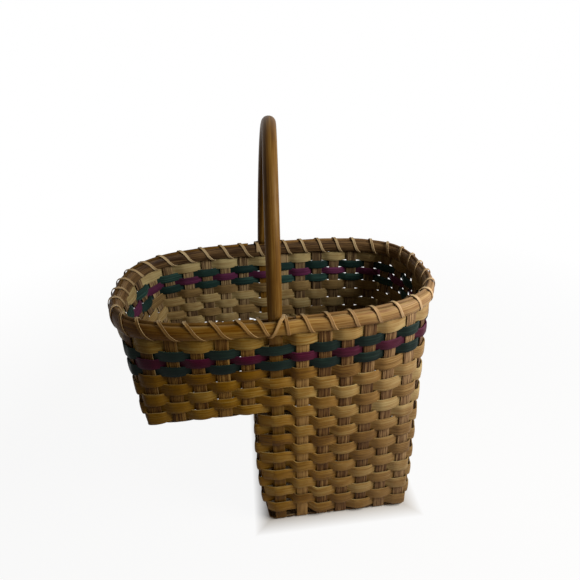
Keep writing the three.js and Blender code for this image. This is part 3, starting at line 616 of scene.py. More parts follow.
def across(middle, side, width, bow=1.0):
    return (middle - side * width / 2, middle + side * width / 2, bow)


def wall_run(upright, top, bottom, hand):
    """Stations of a stake down an upright. hand tells which way its side points."""
    count = round((top - bottom) / STATION_STEP)
    return [
        across(
            upright.at(z) + upright.out(z) * sway(upright, z), hand * upright.along(z), STAKE_WIDTH
        )
        for z in spread(top, bottom, count + 1)
    ]


def bend_run(corner, travel_in, travel_out, side, radius):
    """Stations of a strip round a quarter bend between a wall and a base."""
    centre = corner - travel_in * radius + travel_out * radius
    stations = []
    for angle in spread(0, math.pi / 2, BEND_STEPS + 1):
        middle = centre - travel_out * radius * math.cos(angle) + travel_in * radius * math.sin(angle)
        stations.append(across(middle, side, STAKE_WIDTH, 0.0))
    return stations


def base_run(start, end, crossings, ground_middle, to_point, side):
    """Stations of a strip along a base. A crossing is a place along it and a level there."""
    flat = STAKE_WIDTH / 2 + FLAT_LEAD
    stops = [(start, ground_middle, 0.0)]
    stops += [(place, level, flat) for place, level in crossings]
    stops.append((end, ground_middle, 0.0))
    heading = math.copysign(1, end - start)
    stations = []
    for (a, level_a, flat_a), (b, level_b, flat_b) in zip(stops, stops[1:]):
        count = max(2, round(abs(b - a) / STATION_STEP))
        begin, finish = a + heading * flat_a, b - heading * flat_b
        for i in range(count):
            place = mix(a, b, i / count)
            level = mix(level_a, level_b, past(place, begin, finish))
            stations.append(across(to_point(place, level), side, STAKE_WIDTH, 0.0))
    return stations[1:]


def crossing_level(ground, over, own, other):
    return ground + own / 2 + (other + CLEARANCE if over else 0)


def roll_edge(stations, sign, outwards, crossings):
    """Pulls one edge of a base's outermost strip out and up to the feet of the wall's stakes, and
    a little further between them."""
    axis = 1 if outwards.x else 0
    rolled = []
    for left, right, bow in stations:
        nearest = min(abs(left[axis] - place) for place, _ in crossings)
        free = past(nearest, STAKE_WIDTH / 2, STAKE_WIDTH / 2 + GAP_EASE)
        shift = outwards * (EDGE_PULL + GAP_PULL * free) + UP * (EDGE_LIFT + GAP_LIFT * free)
        rolled.append((left + shift, right, bow) if sign < 0 else (left, right + shift, bow))
    return rolled


def cross_base(x, foot_y, ground, bend, pitch, j, thickness=STAKE_THICKNESS):
    """Stations of the cross stake j through its base and both bends, from front to back."""
    middle = ground + BASE_MIDDLE
    crossings = [
        (long_y(k, pitch), crossing_level(ground, (j + k) % 2 == 0, thickness, STAKE_THICKNESS))
        for k in range(LONG_COUNT)
    ]
    reach = foot_y - bend
    flat = base_run(-reach, reach, crossings, middle, lambda y, z: Vector((x, y, z)), RIGHT)
    if ground == 0 and j == DEEP_CROSS_COUNT:
        flat = roll_edge(flat, 1, RIGHT, crossings)
    if ground > 0 and j == STEP_CROSS_COUNT:
        flat = roll_edge(flat, -1, LEFT, crossings)
    return (
        bend_run(Vector((x, -foot_y, middle)), DOWN, BACKWARD, RIGHT, bend)
        + flat
        + bend_run(Vector((x, foot_y, middle)), BACKWARD, UP, RIGHT, bend)
    )


def cross_stake(pair, ground, bend, pitch, j):
    front, back = pair
    return (
        wall_run(front, STAKE_TOP, front.foot.z, 1)[:-1]
        + cross_base(back.foot.x, back.foot.y, ground, bend, pitch, j)
        + wall_run(back, STAKE_TOP, back.foot.z, -1)[::-1][1:]
    )


def long_stake(k):
    deep_end, riser, step_end = deep_end_uprights[k], riser_uprights[k], step_end_uprights[k]
    deep_y, step_y = long_y(k, DEEP_PITCH), long_y(k, STEP_PITCH)

    def lay(start, end, places, ground, y):
        crossings = [
            (x, crossing_level(ground, over, STAKE_THICKNESS, other)) for x, over, other in places
        ]
        flat = base_run(
            start, end, crossings, ground + BASE_MIDDLE, lambda x, z: Vector((x, y, z)), BACKWARD
        )
        if k == 0:
            flat = roll_edge(flat, -1, -BACKWARD, crossings)
        if k == LONG_COUNT - 1:
            flat = roll_edge(flat, 1, BACKWARD, crossings)
        return flat

    deep_places = [
        (deep_foot_x[j], (j + k) % 2 != 0, STAKE_THICKNESS if j else TAIL_THICKNESS)
        for j in range(DEEP_CROSS_COUNT, -1, -1)
    ]
    step_places = [
        (step_foot_x[j - 1], (j + k) % 2 != 0, STAKE_THICKNESS)
        for j in range(1, STEP_CROSS_COUNT + 1)
    ]

    def bend(x, y, z, travel_in, travel_out, radius):
        return bend_run(Vector((x, y, z)), travel_in, travel_out, BACKWARD, radius)

    return (
        wall_run(deep_end, STAKE_TOP, deep_end.foot.z, 1)[:-1]
        + bend(DEEP_END_FOOT_X, deep_y, BASE_MIDDLE, DOWN, LEFT, DEEP_BEND_RADIUS)
        + lay(
            DEEP_END_FOOT_X - DEEP_BEND_RADIUS, RISER_FOOT_X + RISER_BEND_RADIUS, deep_places, 0,
            deep_y,
        )
        + bend(RISER_FOOT_X, deep_y, BASE_MIDDLE, LEFT, UP, RISER_BEND_RADIUS)
        + wall_run(riser, riser.head.z, riser.foot.z, -1)[::-1][1:-1]
        + bend(RISER_HEAD_X, step_y, STEP_MIDDLE, UP, LEFT, STEP_BEND_RADIUS)
        + lay(
            RISER_HEAD_X - STEP_BEND_RADIUS, STEP_END_FOOT_X + STEP_BEND_RADIUS, step_places,
            STEP_HEIGHT, step_y,
        )
        + bend(STEP_END_FOOT_X, step_y, STEP_MIDDLE, LEFT, UP, STEP_BEND_RADIUS)
        + wall_run(step_end, STAKE_TOP, step_end.foot.z, -1)[::-1][1:]
    )


# Lengths, widths and fibre_depth are in mm. A contrast says how far a pattern moves the tone. A
# fade has two places along the basket, in metres, and the value at each. The saturation one is a
# painted sheen, greyer towards the deep end on the lamp's side; the brightness one is painted
# shade, darker towards the shallow end.
STREAK_LENGTH = 90
FIBRE_LENGTH = 30
FIBRE_WIDTH = 0.8
BLOTCH_LENGTH = 35
BLOTCH_WIDTH = 12
BLOTCH_CONTRAST = 0.12
NOISE_LOW, NOISE_HIGH = 0.3, 0.7
# Painted sheen: saturation falls towards the deep end. Painted shade: brightness falls towards the
# shallow end.
PAINTED_SHEEN_SATURATION = ((-0.05, 1.06), (0.18, 0.84))
PAINTED_SHADE_BRIGHTNESS = ((-0.22, 0.3), (0.02, 0.98))
BARE_INSIDE = (0.82, 0.86, 0.512)


def reed_material(
    name, dark, middle, light, streak_width, streak_contrast, roughness, fibre_depth,
    inside_look=BARE_INSIDE,
):
    """Split reed: parallel fibres along the strip, each a little lighter or darker. Along the basket
    the colour carries painted light: painted shade darkens the shallow end, and a painted sheen
    makes the deep end, on the lamp's side, greyer. Faces that look into the basket take inside_look
    instead, its saturation, brightness and hue; for bare reed these are greyer and greener.

    Rattan shows fibres of about 0.3 mm, too fine for the picture, so the fine ones are drawn
    0.8 mm apart."""
    made, tree = new_material(name)
    uv = add_node(tree, "ShaderNodeUVMap").outputs[0]
    total = add_node(tree, "ShaderNodeAttribute", attribute_name="tone").outputs["Fac"]
    noises = []
    for length, width, detail, contrast in (
        (STREAK_LENGTH, streak_width, 2.0, streak_contrast),
        (FIBRE_LENGTH, FIBRE_WIDTH, 1.0, streak_contrast / 2),
        (BLOTCH_LENGTH, BLOTCH_WIDTH, 3.0, BLOTCH_CONTRAST),
    ):
        scaled = add_node(
            tree, "ShaderNodeVectorMath", {0: uv, 1: (1 / (length * MM), 1 / (width * MM), 1)},
            operation="MULTIPLY",
        )
        noise = add_node(
            tree, "ShaderNodeTexNoise",
            {"Vector": scaled.outputs[0], "Scale": 1.0, "Detail": detail},
        ).outputs["Fac"]
        tone_change = add_node(
            tree, "ShaderNodeMapRange",
            {"Value": noise, "From Min": NOISE_LOW, "From Max": NOISE_HIGH, "To Min": -contrast,
             "To Max": contrast},
        )
        total = add_node(
            tree, "ShaderNodeMath", {0: total, 1: tone_change.outputs[0]}, operation="ADD",
        ).outputs[0]
        noises.append(noise)
    ramp = add_node(tree, "ShaderNodeValToRGB", {"Fac": total})
    ramp.color_ramp.elements[0].color = linear(dark)
    ramp.color_ramp.elements[1].color = linear(light)
    ramp.color_ramp.elements.new(0.5).color = linear(middle)
    place = add_node(tree, "ShaderNodeTexCoord").outputs["Object"]
    along = add_node(tree, "ShaderNodeSeparateXYZ", {0: place}).outputs["X"]
    inside = add_node(tree, "ShaderNodeAttribute", attribute_name="inside").outputs["Fac"]
    # Painted sheen in saturation and painted shade in brightness, by place along the basket
    strength, brightness = (
        add_node(
            tree, "ShaderNodeMapRange",
            {"Value": along, "From Min": start, "From Max": end, "To Min": left, "To Max": right},
        ).outputs[0]
        for (start, left), (end, right) in (PAINTED_SHEEN_SATURATION, PAINTED_SHADE_BRIGHTNESS)
    )
    strength, brightness, hue = (
        add_node(
            tree, "ShaderNodeMapRange", {"Value": inside, "To Min": outer, "To Max": inner},
        ).outputs[0]
        for outer, inner in zip((strength, brightness, 0.5), inside_look)
    )
    with_painted_light = add_node(
        tree, "ShaderNodeHueSaturation",
        {"Color": ramp.outputs["Color"], "Saturation": strength, "Value": brightness, "Hue": hue},
    )
    streaks, fibres = noises[:2]
    relief = add_node(tree, "ShaderNodeMath", {0: streaks, 1: fibres}, operation="ADD")
    bump = add_node(
        tree, "ShaderNodeBump",
        {"Height": relief.outputs[0], "Strength": 1.0, "Distance": fibre_depth * MM},
    )
    shader = add_node(
        tree, "ShaderNodeBsdfPrincipled",
        {"Base Color": with_painted_light.outputs["Color"], "Roughness": roughness, "IOR": 1.5,
         "Specular IOR Level": 0.08, "Normal": bump.outputs["Normal"]},
    )
    add_node(tree, "ShaderNodeOutputMaterial", {"Surface": shader.outputs[0]})
    return made


# Flat rattan reed with its rough side out: matt and brown, with dark fibres that show as lines
stake_reed = reed_material(
    "flat_reed_stakes", "#2e1b0c", "#61401e", "#a37e49", 1.7, 0.4, 0.6, 0.35,
)


def drift(count, base, reach, waves=3):
    """A slow change of tone along a strip, by about reach."""
    parts = [(dice.uniform(0, 2 * math.pi), n) for n in range(1, waves + 1)]
    turn = 2 * math.pi / count
    return [
        base + reach * sum(math.sin(n * turn * i + p) / n for p, n in parts) / DRIFT_SCALE
        for i in range(count)
    ]


LONG_TONES = [0.45, 0.6, 0.4, 0.55, 0.5, 0.35, 0.6]
DEEP_CROSS_TONES = [0.92, 0.54, 0.44, 0.48, 0.6, 0.64]
STEP_CROSS_TONES = [0.66, 0.7, 0.56, 0.64, 0.58]
LONG_DRIFT = 0.1
CROSS_DRIFT = 0.08

stakes = [
    (f"long_stake_{k + 1}", long_stake(k), tone, LONG_DRIFT) for k, tone in enumerate(LONG_TONES)
]
for part, pairs, tones, ground, bend, pitch in (
    ("deep", deep_cross_uprights, DEEP_CROSS_TONES, 0, DEEP_BEND_RADIUS, DEEP_PITCH),
    ("step", step_cross_uprights, STEP_CROSS_TONES, STEP_HEIGHT, STEP_BEND_RADIUS, STEP_PITCH),
):
    for j, (pair, tone) in enumerate(zip(pairs, tones), 1):
        stations = cross_stake(pair, ground, bend, pitch, j)
        stakes.append((f"{part}_cross_stake_{j}", stations, tone, CROSS_DRIFT))
for node, stations, tone, reach in stakes:
    lay_reed(
        node, stations, STAKE_THICKNESS, STAKE_CUP, stake_reed,
        tones=drift(len(stations), tone, reach),
    )

# Handle. One steam-bent strip of ash or hickory: a round rod over the hoop, a notch that the rims
# sit in, and a shaved flat tail that is woven in as a stake and crosses under the deep base.
HANDLE_LEAN = 12.7
HANDLE_TOP = 542
ROD_DIAMETER = 17
TANG_THICKNESS = 5.2
LIP_LENGTH = 15
FILLER_RADIUS = 2.2
FILLER_RISE = 0.6
HANDLE_SHOULDER = RIM_TOP + FILLER_RISE + FILLER_RADIUS + CLEARANCE
HOOP_BOW = 3.2
HOOP_STEPS = 110
HANDLE_COLUMNS = 28
HANDLE_CREASE = math.radians(60)
SHOULDER_ROUND = 7.0
SHOULDER_SWELL = 3.2
ROD_SQUARENESS = 2.15
TANG_SQUARENESS = 5
TAIL_SQUARENESS = 6
LIP_SQUARENESS = 4
LIP_SWELL = 1.6
LIP_INNER_SHARE = 0.25
LIP_STEPS = 8
TAIL_STEPS = 77
TANG_LEVELS = (HANDLE_SHOULDER - 0.4, RIM_TOP - 2, RIM_BOTTOM + 6, RIM_BOTTOM + 2)
TAIL_START = RIM_BOTTOM - LIP_LENGTH - 3


def round_points(count):
    """Cosine and sine round a closed circle, whose last point is its first again."""
    angles = [2 * math.pi * (i % count) / count for i in range(count + 1)]
    return [(math.cos(angle), math.sin(angle)) for angle in angles]


def handle_section(middle, out, half_width, inner, outer, squareness):
    """Closed outline of the handle: a circle for the rod, a rounded rectangle for the tail."""
    depth = (inner + outer) / 2
    centre = middle + out * (outer - inner) / 2
    power = 2 / squareness
    return [
        centre + RIGHT * half_width * raised(c, power) + out * depth * raised(s, power)
        for c, s in round_points(HANDLE_COLUMNS)
    ]


def hoop_sections():
    radius = ROD_DIAMETER / 2
    span = abs(handle_uprights[0].head.y)
    rise = HANDLE_TOP - HANDLE_SHOULDER
    sections = []
    for angle in spread(0, math.pi, HOOP_STEPS + 1):
        height = rise * math.sin(angle)
        middle = Vector((
            HANDLE_HEAD_X + HANDLE_LEAN * math.sin(angle) - HOOP_BOW * max(0.0, math.sin(2 * angle)),
            -span * math.cos(angle),
            HANDLE_SHOULDER + height,
        ))
        out = Vector((0, -math.cos(angle) * rise, math.sin(angle) * span)).normalized()
        shoulder = ease(height / SHOULDER_ROUND)
        half_width = mix(TAIL_WIDTH / 2, radius, shoulder)
        depth = mix(TANG_THICKNESS / 2 + SHOULDER_SWELL, radius, shoulder)
        sections.append(handle_section(middle, out, half_width, depth, depth, ROD_SQUARENESS))
    return sections


def leg_sections(upright):
    """From the shoulder down through the rims, round the lip that stops them from below, and down
    to the bend at the deep base."""
    half_tail, half_tang = TAIL_THICKNESS / 2, TANG_THICKNESS / 2

    def section(z, inner, outer, squareness, push=0.0):
        out = upright.out(z)
        middle = upright.at(z) + out * push
        return handle_section(middle, out, TAIL_WIDTH / 2, inner, outer, squareness)

    sections = [section(z, half_tang, half_tang, TANG_SQUARENESS) for z in TANG_LEVELS]
    for t in spread(0, 1, LIP_STEPS + 1):
        outer = mix(half_tail, half_tang + LIP_SWELL, math.sqrt(1 - t * t))
        inner = mix(half_tang, half_tail, ease(t / LIP_INNER_SHARE))
        squareness = mix(LIP_SQUARENESS, TAIL_SQUARENESS, t)
        sections.append(section(RIM_BOTTOM - LIP_LENGTH * t, inner, outer, squareness))
    for z in spread(TAIL_START, upright.foot.z, TAIL_STEPS + 1):
        sections.append(section(z, half_tail, half_tail, TAIL_SQUARENESS, sway(upright, z)))
    return sections


def tail_base_sections():
    """From the back bend to the front one, as a cross stake that is a little thicker."""
    runs = cross_base(
        HANDLE_FOOT_X, DEEP_FOOT_Y, 0, DEEP_BEND_RADIUS, DEEP_PITCH, 0, TAIL_THICKNESS
    )
    middles = [(left + right) / 2 for left, right, _ in reversed(runs)]
    sections = []
    half = TAIL_THICKNESS / 2
    for i, middle in enumerate(middles):
        travel = middles[min(i + 1, len(middles) - 1)] - middles[max(i - 1, 0)]
        out = travel.cross(RIGHT).normalized()
        sections.append(handle_section(middle, out, TAIL_WIDTH / 2, half, half, TAIL_SQUARENESS))
    return sections


def skin(name, sections, closed, shift=0.0, tones=(MIDDLE_TONE,)):
    """A grid rolled up round closed sections and welded: a closed ring, or a rod with flat ends."""
    columns = len(sections[0])
    spine = [section[0] for section in sections]
    if closed:
        sections = sections + [sections[0]]
        spine = [sum(section[:-1], Vector()) / (columns - 1) for section in sections]
    piece = add_sheet(name, sections, tones)
    lengths = running_length(spine, shift)
    girth = running_length(sections[0], 0.0)
    lay_grain(piece.data, columns, lambda i, column: (lengths[i], girth[column]))
    edit_mesh(*([WELD, FACE_OUTWARDS] if closed else [WELD, CLOSE_ENDS, FACE_OUTWARDS]))
    bpy.ops.object.shade_smooth_by_angle(angle=HANDLE_CREASE)
    return piece


# Ash, steam-bent and rubbed smooth by hands: a long plain grain with a faint sheen
handle_wood = reed_material(
    "bent_ash_handle", "#3a240a", "#68471a", "#8a6c36", 2.2, 0.24, 0.45, 0.15,
)
handle = skin(
    "handle_wood",
    hoop_sections() + leg_sections(handle_uprights[1]) + tail_base_sections()
    + leg_sections(handle_uprights[0])[::-1],
    closed=True,
)
finish_piece(handle, handle_wood, "handle")

# Natural rows. Sixteen lengths of flat reed, woven wet over one stake and under the next, so that
# each dries as a row of shallow pillows. The upper five go all round, the others round the deep
# half alone, its riser included.
WEAVER_THICKNESS = 1.6
DEEP_WIDTH = 16.4
STEP_WIDTH = 13.3
OUTER_PILLOW = 2.9
INNER_PILLOW = 1.8
PILLOW_WANDER = (-0.1, 0.25)
ROW_WANDER = 0.15
EDGE_SHARE = 0.78
EDGE_CUP_SHARE = 0.6
PILLOW_LEAN = 0.6
TAIL_CLEARANCE = 2.2
TAIL_LEAD = 4.5
WEAVER_CUP = 0.7
SPLINE_STEPS = 5
ROW_DRIFT = 0.15
NATURAL_WAVES = 14

# How far a row's edges lap its neighbours: at the front of the deep half, at the back and over the
# shallow half, at the back of the deep end, and how much more at the shallow end
FRONT_LAP = 0.6
BACK_LAP = 0.85
BACK_Y = (-60, 60)
STEP_X = (-35, -85)
LOOSE_LAP = 0.05
LOOSE_X = (65, 110)
LOOSE_Y = (-30, 30)
STEP_END_LAP = 0.5
STEP_END_X = (-120, -160)


def smooth_point(a, b, c, d, t):
    """Point between b and c of a Catmull-Rom curve, which runs through all of its points."""
    return 0.5 * (
        2 * b + (c - a) * t + (2 * a - 5 * b + 4 * c - d) * t * t
        + (3 * b - a - 3 * c + d) * t * t * t
    )


def spline(points):
    """A smooth closed line."""
    count = len(points)
    return [
        smooth_point(*(points[(i + n) % count] for n in (-1, 0, 1, 2)), step / SPLINE_STEPS)
        for i in range(count) for step in range(SPLINE_STEPS)
    ]


def lap(point):
    """How far a row's edges lap the rows on the stake's other side at a point of the wall."""
    packed = max(past(point.y, *BACK_Y), past(point.x, *STEP_X))
    loose = past(point.x, *LOOSE_X) * past(point.y, *LOOSE_Y)
    return (
        mix(mix(FRONT_LAP, BACK_LAP, packed), LOOSE_LAP, loose)
        + STEP_END_LAP * past(point.x, *STEP_END_X)
    )


def woven_stations(row, widths):
    """Stations of a row, with its widths over the deep and the shallow half. It is pressed
    narrower where the rows lie closer. The lower edge of a pillow stands out a little more than its
    upper one, and behind the handle's tail a row lies deeper and stays so for longer."""
    low, high, bows = [], [], []
    for place, upright in enumerate(row.ring):
        outside = row.outside(place)
        z = row.level(upright) + dice.uniform(-ROW_WANDER, ROW_WANDER)
        point = upright.at(z)
        half = mix(*widths, climb(point.x)) / 2 + lap(point)
        reach = OUTER_PILLOW if outside > 0 else INNER_PILLOW
        reach += upright.thickness / 2 - HALF_STAKE + dice.uniform(*PILLOW_WANDER)
        behind_tail = outside < 0 and upright.thickness > STAKE_THICKNESS
        if behind_tail:
            reach += TAIL_CLEARANCE
        for edge in (-1, 0, 1):
            shift = edge * (STAKE_WIDTH / 2 + FLAT_LEAD)
            if behind_tail and edge > 0 > upright.foot.y:
                shift += TAIL_LEAD
            for line, level, lean in (
                (low, z - half, PILLOW_LEAN), (high, z + half, -PILLOW_LEAN / 2)
            ):
                offset = outside * (reach * EDGE_SHARE if edge else reach + lean)
                line.append(
                    upright.at(level) + upright.along(level) * shift + upright.out(level) * offset
                )
            bows.append(outside * (EDGE_CUP_SHARE if edge else 1))
    bow_line = [
        mix(bow, bows[(i + 1) % len(bows)], step / SPLINE_STEPS)
        for i, bow in enumerate(bows) for step in range(SPLINE_STEPS)
    ]
    return list(zip(spline(low), spline(high), bow_line))


def weave(node, row, widths, reed, tone, waves):
    """Makes a row as one closed strip. Its tone drifts in so many waves."""
    stations = woven_stations(row, widths)
    tones = drift(len(stations), tone, ROW_DRIFT, waves)
    lay_reed(node, stations, WEAVER_THICKNESS, WEAVER_CUP, reed, closed=True, tones=tones)


# Flat rattan reed with its smooth side out: straw brown, with a soft sheen on each pillow
natural_reed = reed_material(
    "flat_reed_rows", "#50310c", "#896221", "#b3985a", 1.2, 0.2, 0.5, 0.25,
)
NATURAL_TONES = [
    0.34, 0.54, 0.6, 0.44, 0.58, 0.46, 0.6, 0.4, 0.56, 0.46, 0.4, 0.54, 0.44, 0.5, 0.42, 0.36,
]
for i, row in enumerate(natural_rows):
    weave(
        f"row_natural_{i + 1:02d}", row,
        (DEEP_WIDTH, STEP_WIDTH if i < COMMON_ROW_COUNT else DEEP_WIDTH), natural_reed,
        NATURAL_TONES[i], NATURAL_WAVES,
    )

# Dyed band. Two rows of reed dyed dark green with a narrower burgundy one between them, woven as
# the others are. Their faces inside the basket are painted brighter, a painted light and sheen on
# the inside, with a small change of hue.
GREEN_WIDTHS = (12.2, 10.9)
PURPLE_WIDTHS = (11.2, 10.0)
# Saturation, brightness and hue of the inside faces; the raised brightness is painted light
GREEN_INSIDE_PAINTED_LIGHT = (1.1, 2.0, 0.53)
PURPLE_INSIDE_PAINTED_LIGHT = (0.85, 1.5, 0.465)
DYED_WAVES = 6
# The dye takes unevenly along the fibres and leaves them nearly black where it took best
green_reed = reed_material(
    "green_dyed_reed", "#06100d", "#121e19", "#26392f", 1.8, 0.2, 0.5, 0.2, GREEN_INSIDE_PAINTED_LIGHT,
)
purple_reed = reed_material(
    "burgundy_dyed_reed", "#23050f", "#3f0b1f", "#5e1c38", 1.8, 0.2, 0.5, 0.2, PURPLE_INSIDE_PAINTED_LIGHT,
)
band = [
    ("row_green_lower", GREEN_WIDTHS, green_reed, "green_reed"),
    ("row_purple", PURPLE_WIDTHS, purple_reed, "purple_reed"),
    ("row_green_upper", GREEN_WIDTHS, green_reed, "green_reed"),
]
for row, (node, widths, dyed, slot) in zip(band_rows, band):
    weave(node, row, widths, dyed, MIDDLE_TONE, DYED_WAVES)

# Row at the stake ends. A last row of natural reed that the rims clamp; its lower half shows as a
# line of lips under them.
RIM_ROW_WIDTHS = (15.2, 15.2)
RIM_ROW_TONE = 0.7
RIM_ROW_WAVES = 5
weave(
    "row_under_rim", rim_row, RIM_ROW_WIDTHS, natural_reed, RIM_ROW_TONE,
    RIM_ROW_WAVES,
)

# Rims. Two lengths of half-round reed, bent round the stake ends with their flat sides on them,
# and a thin round reed in the groove between. They swell a little round the handle's tang.
RIM_SECTION_POINTS = 16
RIM_STEPS = 10
RIM_SEAT = HALF_STAKE + CLEARANCE
RIM_SIDE_POWER = 0.75
RIM_HEIGHT_POWER = 0.9
SWELL_PLACES = (0.95, 0.35)
LEAST_OFFSET = 0.01
# Each wave has its height in mm, its pace and its start
RIM_WAVES = ((0.25, 2.3, 0), (0.2, 5.1, 1))
# Rim tone round the ring: a middle, and a painted light and shade that is lightest at the given place
RIM_TONE = 0.43
RIM_PAINTED_LIGHT_REACH = 0.31
PAINTED_LIGHT_PLACE = 2
FILLER_POINTS = 12
FILLER_WAVES = ((0.2, 3.1, 0),)
FILLER_OVERRUN = 0.25
FILLER_STEPS = 7


def ring_frame(place, z):
    """Point of the stake line at a place round the rim, and its outward side. Places count the
    stakes from the front of the handle."""
    base = math.floor(place)
    t = place - base
    a, b, c, d = (whole_ring[(base + n) % RING_COUNT].at(z) for n in (-1, 0, 1, 2))
    slope = (c - a) + 2 * (2 * a - 5 * b + 4 * c - d) * t + 3 * (3 * b - a - 3 * c + d) * t * t
    out = Vector((slope.y, -slope.x, 0)).normalized()
    return smooth_point(a, b, c, d, t), out


def waver(place, waves):
    """The rims aren't dead level: they rise and fall by under half a millimetre."""
    return sum(height * math.sin(place * pace + start) for height, pace, start in waves)


def swell(place):
    """The rims stand this much further out beside the handle's tang."""
    nearest = min(
        abs((place - handle + RING_COUNT / 2) % RING_COUNT - RING_COUNT / 2)
        for handle in (0, BACK_PLACE)
    )
    return (TANG_THICKNESS / 2 - HALF_STAKE) * past(nearest, *SWELL_PLACES)


def bundle_point(place, offset, height):
    point, out = ring_frame(place, RIM_BOTTOM + height)
    push = math.copysign(swell(place), offset) if abs(offset) > LEAST_OFFSET else 0
    return point + out * (offset + push)


def rim_outline(side):
    """Half-round section: a flat against the stakes and a full round side, as offset and height."""
    points = []
    half = RIM_HEIGHT / 2
    for i in range(RIM_SECTION_POINTS):
        angle = math.pi * (i / (RIM_SECTION_POINTS - 1) - 0.5)
        away = RIM_THICKNESS * max(math.cos(angle), 0) ** RIM_SIDE_POWER
        height = half + half * raised(math.sin(angle), RIM_HEIGHT_POWER)
        points.append((side * (RIM_SEAT + away), height))
    points.append(points[0])
    return points


# Half-round rattan, scraped smooth: long brown streaks. Round the ring its tone carries painted
# light, paler along the front of the deep half, and painted shade, darker round the back.
rim_wood = reed_material("half_round_rim", "#351b06", "#7c511c", "#a88344", 2.2, 0.25, 0.45, 0.3)
ring_places = [i / RIM_STEPS for i in range(RING_COUNT * RIM_STEPS)]
# Painted light and shade on the rims: lightest at the front of the deep half, darkest opposite at the
# back
tones = [
    RIM_TONE + RIM_PAINTED_LIGHT_REACH * math.cos(2 * math.pi * (place - PAINTED_LIGHT_PLACE) / RING_COUNT)
    for place in ring_places
]
for node, side in (("rim_outer", 1), ("rim_inner", -1)):
    outline = rim_outline(side)
    sections = [
        [bundle_point(place, offset, height + waver(place, RIM_WAVES)) for offset, height in outline]
        for place in ring_places
    ]
    rim = skin(f"{node}_wood", sections, True, dice.uniform(0, PATTERN_SHIFT), tones)
    mark_inside(rim)
    finish_piece(rim, rim_wood, node)


def filler_sections(first, last):
    sections = []
    places = spread(
        first - FILLER_OVERRUN, last + FILLER_OVERRUN, round((last - first) * FILLER_STEPS)
    )
    for place in places:
        wave = waver(place, FILLER_WAVES)
        section = []
        for c, s in round_points(FILLER_POINTS):
            point, out = ring_frame(place, RIM_TOP + FILLER_RISE + FILLER_RADIUS * s + wave)
            section.append(point + out * (FILLER_RADIUS * c))
        sections.append(section)
    return sections


# Round rattan core: plain, matt and a little paler than the rims
filler_reed = reed_material(
    "round_reed_filler", "#46300f", "#785528", "#a07d48", 1.5, 0.25, 0.55, 0.2,
)
fillers = [
    ("rim_filler_deep_side", 1, BACK_PLACE - 1),
    ("rim_filler_step_side", BACK_PLACE + 1, RING_COUNT - 1),
]
for node, first, last in fillers:
    rod = skin(
        f"{node}_reed", filler_sections(first, last), False, dice.uniform(0, PATTERN_SHIFT)
    )
    finish_piece(rod, filler_reed, node)

# Lashing. A narrow flat strand of reed, wound wet round both rims once for each stake and pulled
# tight, and a tie that crosses it on the outside at each foot of the handle.
LASH_WIDTH = 4.0
LASH_THICKNESS = 1
LASH_CUP = 0.2
LASH_STEPS = 44
LASH_WAVES = 9
LASH_SIDE_GAP = 0.65
LASH_TOP_GAP = 1.0
LASH_BOTTOM_GAP = 0.75
LASH_POWER = 0.8
LASH_PROBE = 0.01
LASH_HALF = RIM_SEAT + RIM_THICKNESS + LASH_SIDE_GAP
LASH_MIDDLE = RIM_HEIGHT / 2
LASH_RISE = RIM_HEIGHT / 2 + FILLER_RISE + FILLER_RADIUS + LASH_TOP_GAP
LASH_DROP = RIM_HEIGHT / 2 + LASH_BOTTOM_GAP
# Where the two turns at a foot start, are on top and end, and where the others are on top, as
# shares of the stakes' spacing. The pairs are shares of the way round the shallow end.
FOOT_TURNS = ((-0.5, -0.62, -0.08), (-0.08, 0.36, 0.5))
FRONT_TOP = 0.5
BACK_TOP = 0.66
END_TOP = 0.85
END_TOP_WAY = (0, 1 / 3)
LAST_TOP = 0.12
LAST_TOP_WAY = (0.45, 0.8)
TIE_STEPS = 33
TIE_OVER = 0.29
TIE_UNDER = -0.3
TIE_TURN = 0.34
TIE_SEAT = 0.3
TIE_LIFT = 1.2
TIE_LIFT_START = 0.4


def lash_point(place, angle, lift=0.0):
    """Angle goes round the bundle: 0 outside, a quarter turn on top, a half turn inside."""
    c, s = math.cos(angle), math.sin(angle)
    offset = (LASH_HALF + lift) * raised(c, LASH_POWER)
    reach = (LASH_RISE if s > 0 else LASH_DROP) + lift
    return bundle_point(place, offset, LASH_MIDDLE + reach * s)


def lash_stations(path):
    """path: places and angles of the strand's middle line, with its lift over other strands."""
    stations = []
    step = LASH_PROBE
    for i, (place, angle, lift) in enumerate(path):
        ahead, behind = path[min(i + 1, len(path) - 1)], path[max(i - 1, 0)]
        travel = lash_point(*ahead) - lash_point(*behind)
        out = (
            (lash_point(place + step, angle, lift) - lash_point(place - step, angle, lift))
            .cross(lash_point(place, angle + step, lift) - lash_point(place, angle - step, lift))
        )
        side = travel.cross(out).normalized()
        stations.append(across(lash_point(place, angle, lift), side, LASH_WIDTH))
    return stations


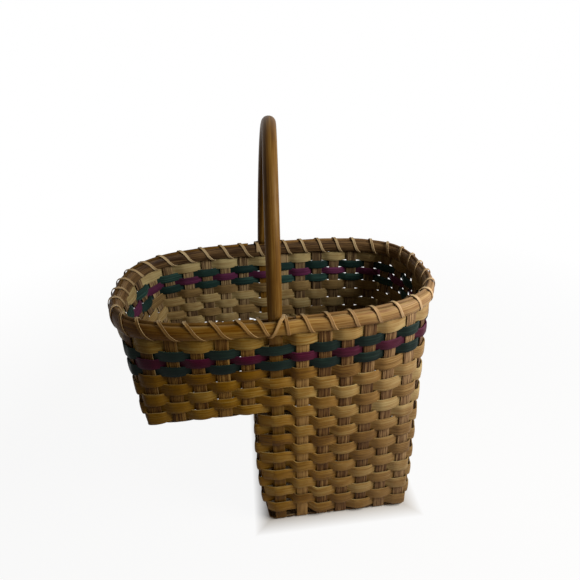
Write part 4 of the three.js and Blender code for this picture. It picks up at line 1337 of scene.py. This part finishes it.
def top_share(place):
    """How far past a gap's middle the strand is on top, as a share of the stakes' spacing."""
    if place < BACK_PLACE:
        return FRONT_TOP
    way = (place - BACK_PLACE) / (RING_COUNT - BACK_PLACE)
    return mix(mix(BACK_TOP, END_TOP, past(way, *END_TOP_WAY)), LAST_TOP, past(way, *LAST_TOP_WAY))


def wind(handle, last):
    """One strand from a foot of the handle on. Every turn starts under the rims and goes up inside,
    over and down outside. The first two cross the foot and close in on it from both sides."""
    turns = [[handle + place for place in turn] for turn in FOOT_TURNS]
    for stake in range(handle + 1, last + 1):
        turns.append((stake - 0.5, stake - 0.5 + top_share(stake), stake + 0.5))
    path = []
    for start, top, end in turns:
        for i in range(LASH_STEPS):
            t = 2 * i / LASH_STEPS
            place = mix(start, top, t) if t < 1 else mix(top, end, t - 1)
            path.append((place, -math.pi / 2 - math.pi * t, 0.0))
    return path


# Fine flat reed, split thin: the palest of them, plain, with a soft sheen
lashing_reed = reed_material(
    "lashing_reed", "#6e4d28", "#ab8450", "#d3b27f", 1.2, 0.22, 0.5, 0.15,
)
strands = [
    ("lashing_deep_side", wind(0, BACK_PLACE - 1)),
    ("lashing_step_side", wind(BACK_PLACE, RING_COUNT - 1)),
]
for node, path in strands:
    lay_reed(
        node, lash_stations(path), LASH_THICKNESS, LASH_CUP, lashing_reed,
        tones=drift(len(path), MIDDLE_TONE, ROW_DRIFT, LASH_WAVES),
    )


def tie_path(handle):
    """From inside the rims over them beside the rod, and across its foot to under them."""
    path = []
    for t in spread(0, 1, TIE_STEPS + 1):
        angle = mix(-math.pi, -2 * math.pi - math.pi / 2, t)
        crossing = max(0.0, (t - TIE_TURN) / (1 - TIE_TURN))
        lift = TIE_LIFT if t > TIE_LIFT_START else TIE_SEAT
        path.append((handle + mix(TIE_OVER, TIE_UNDER, crossing), angle, lift))
    return path


for node, handle_place in (("handle_tie_front", 0), ("handle_tie_back", BACK_PLACE)):
    lay_reed(
        node, lash_stations(tie_path(handle_place)), LASH_THICKNESS, LASH_CUP, lashing_reed,
    )
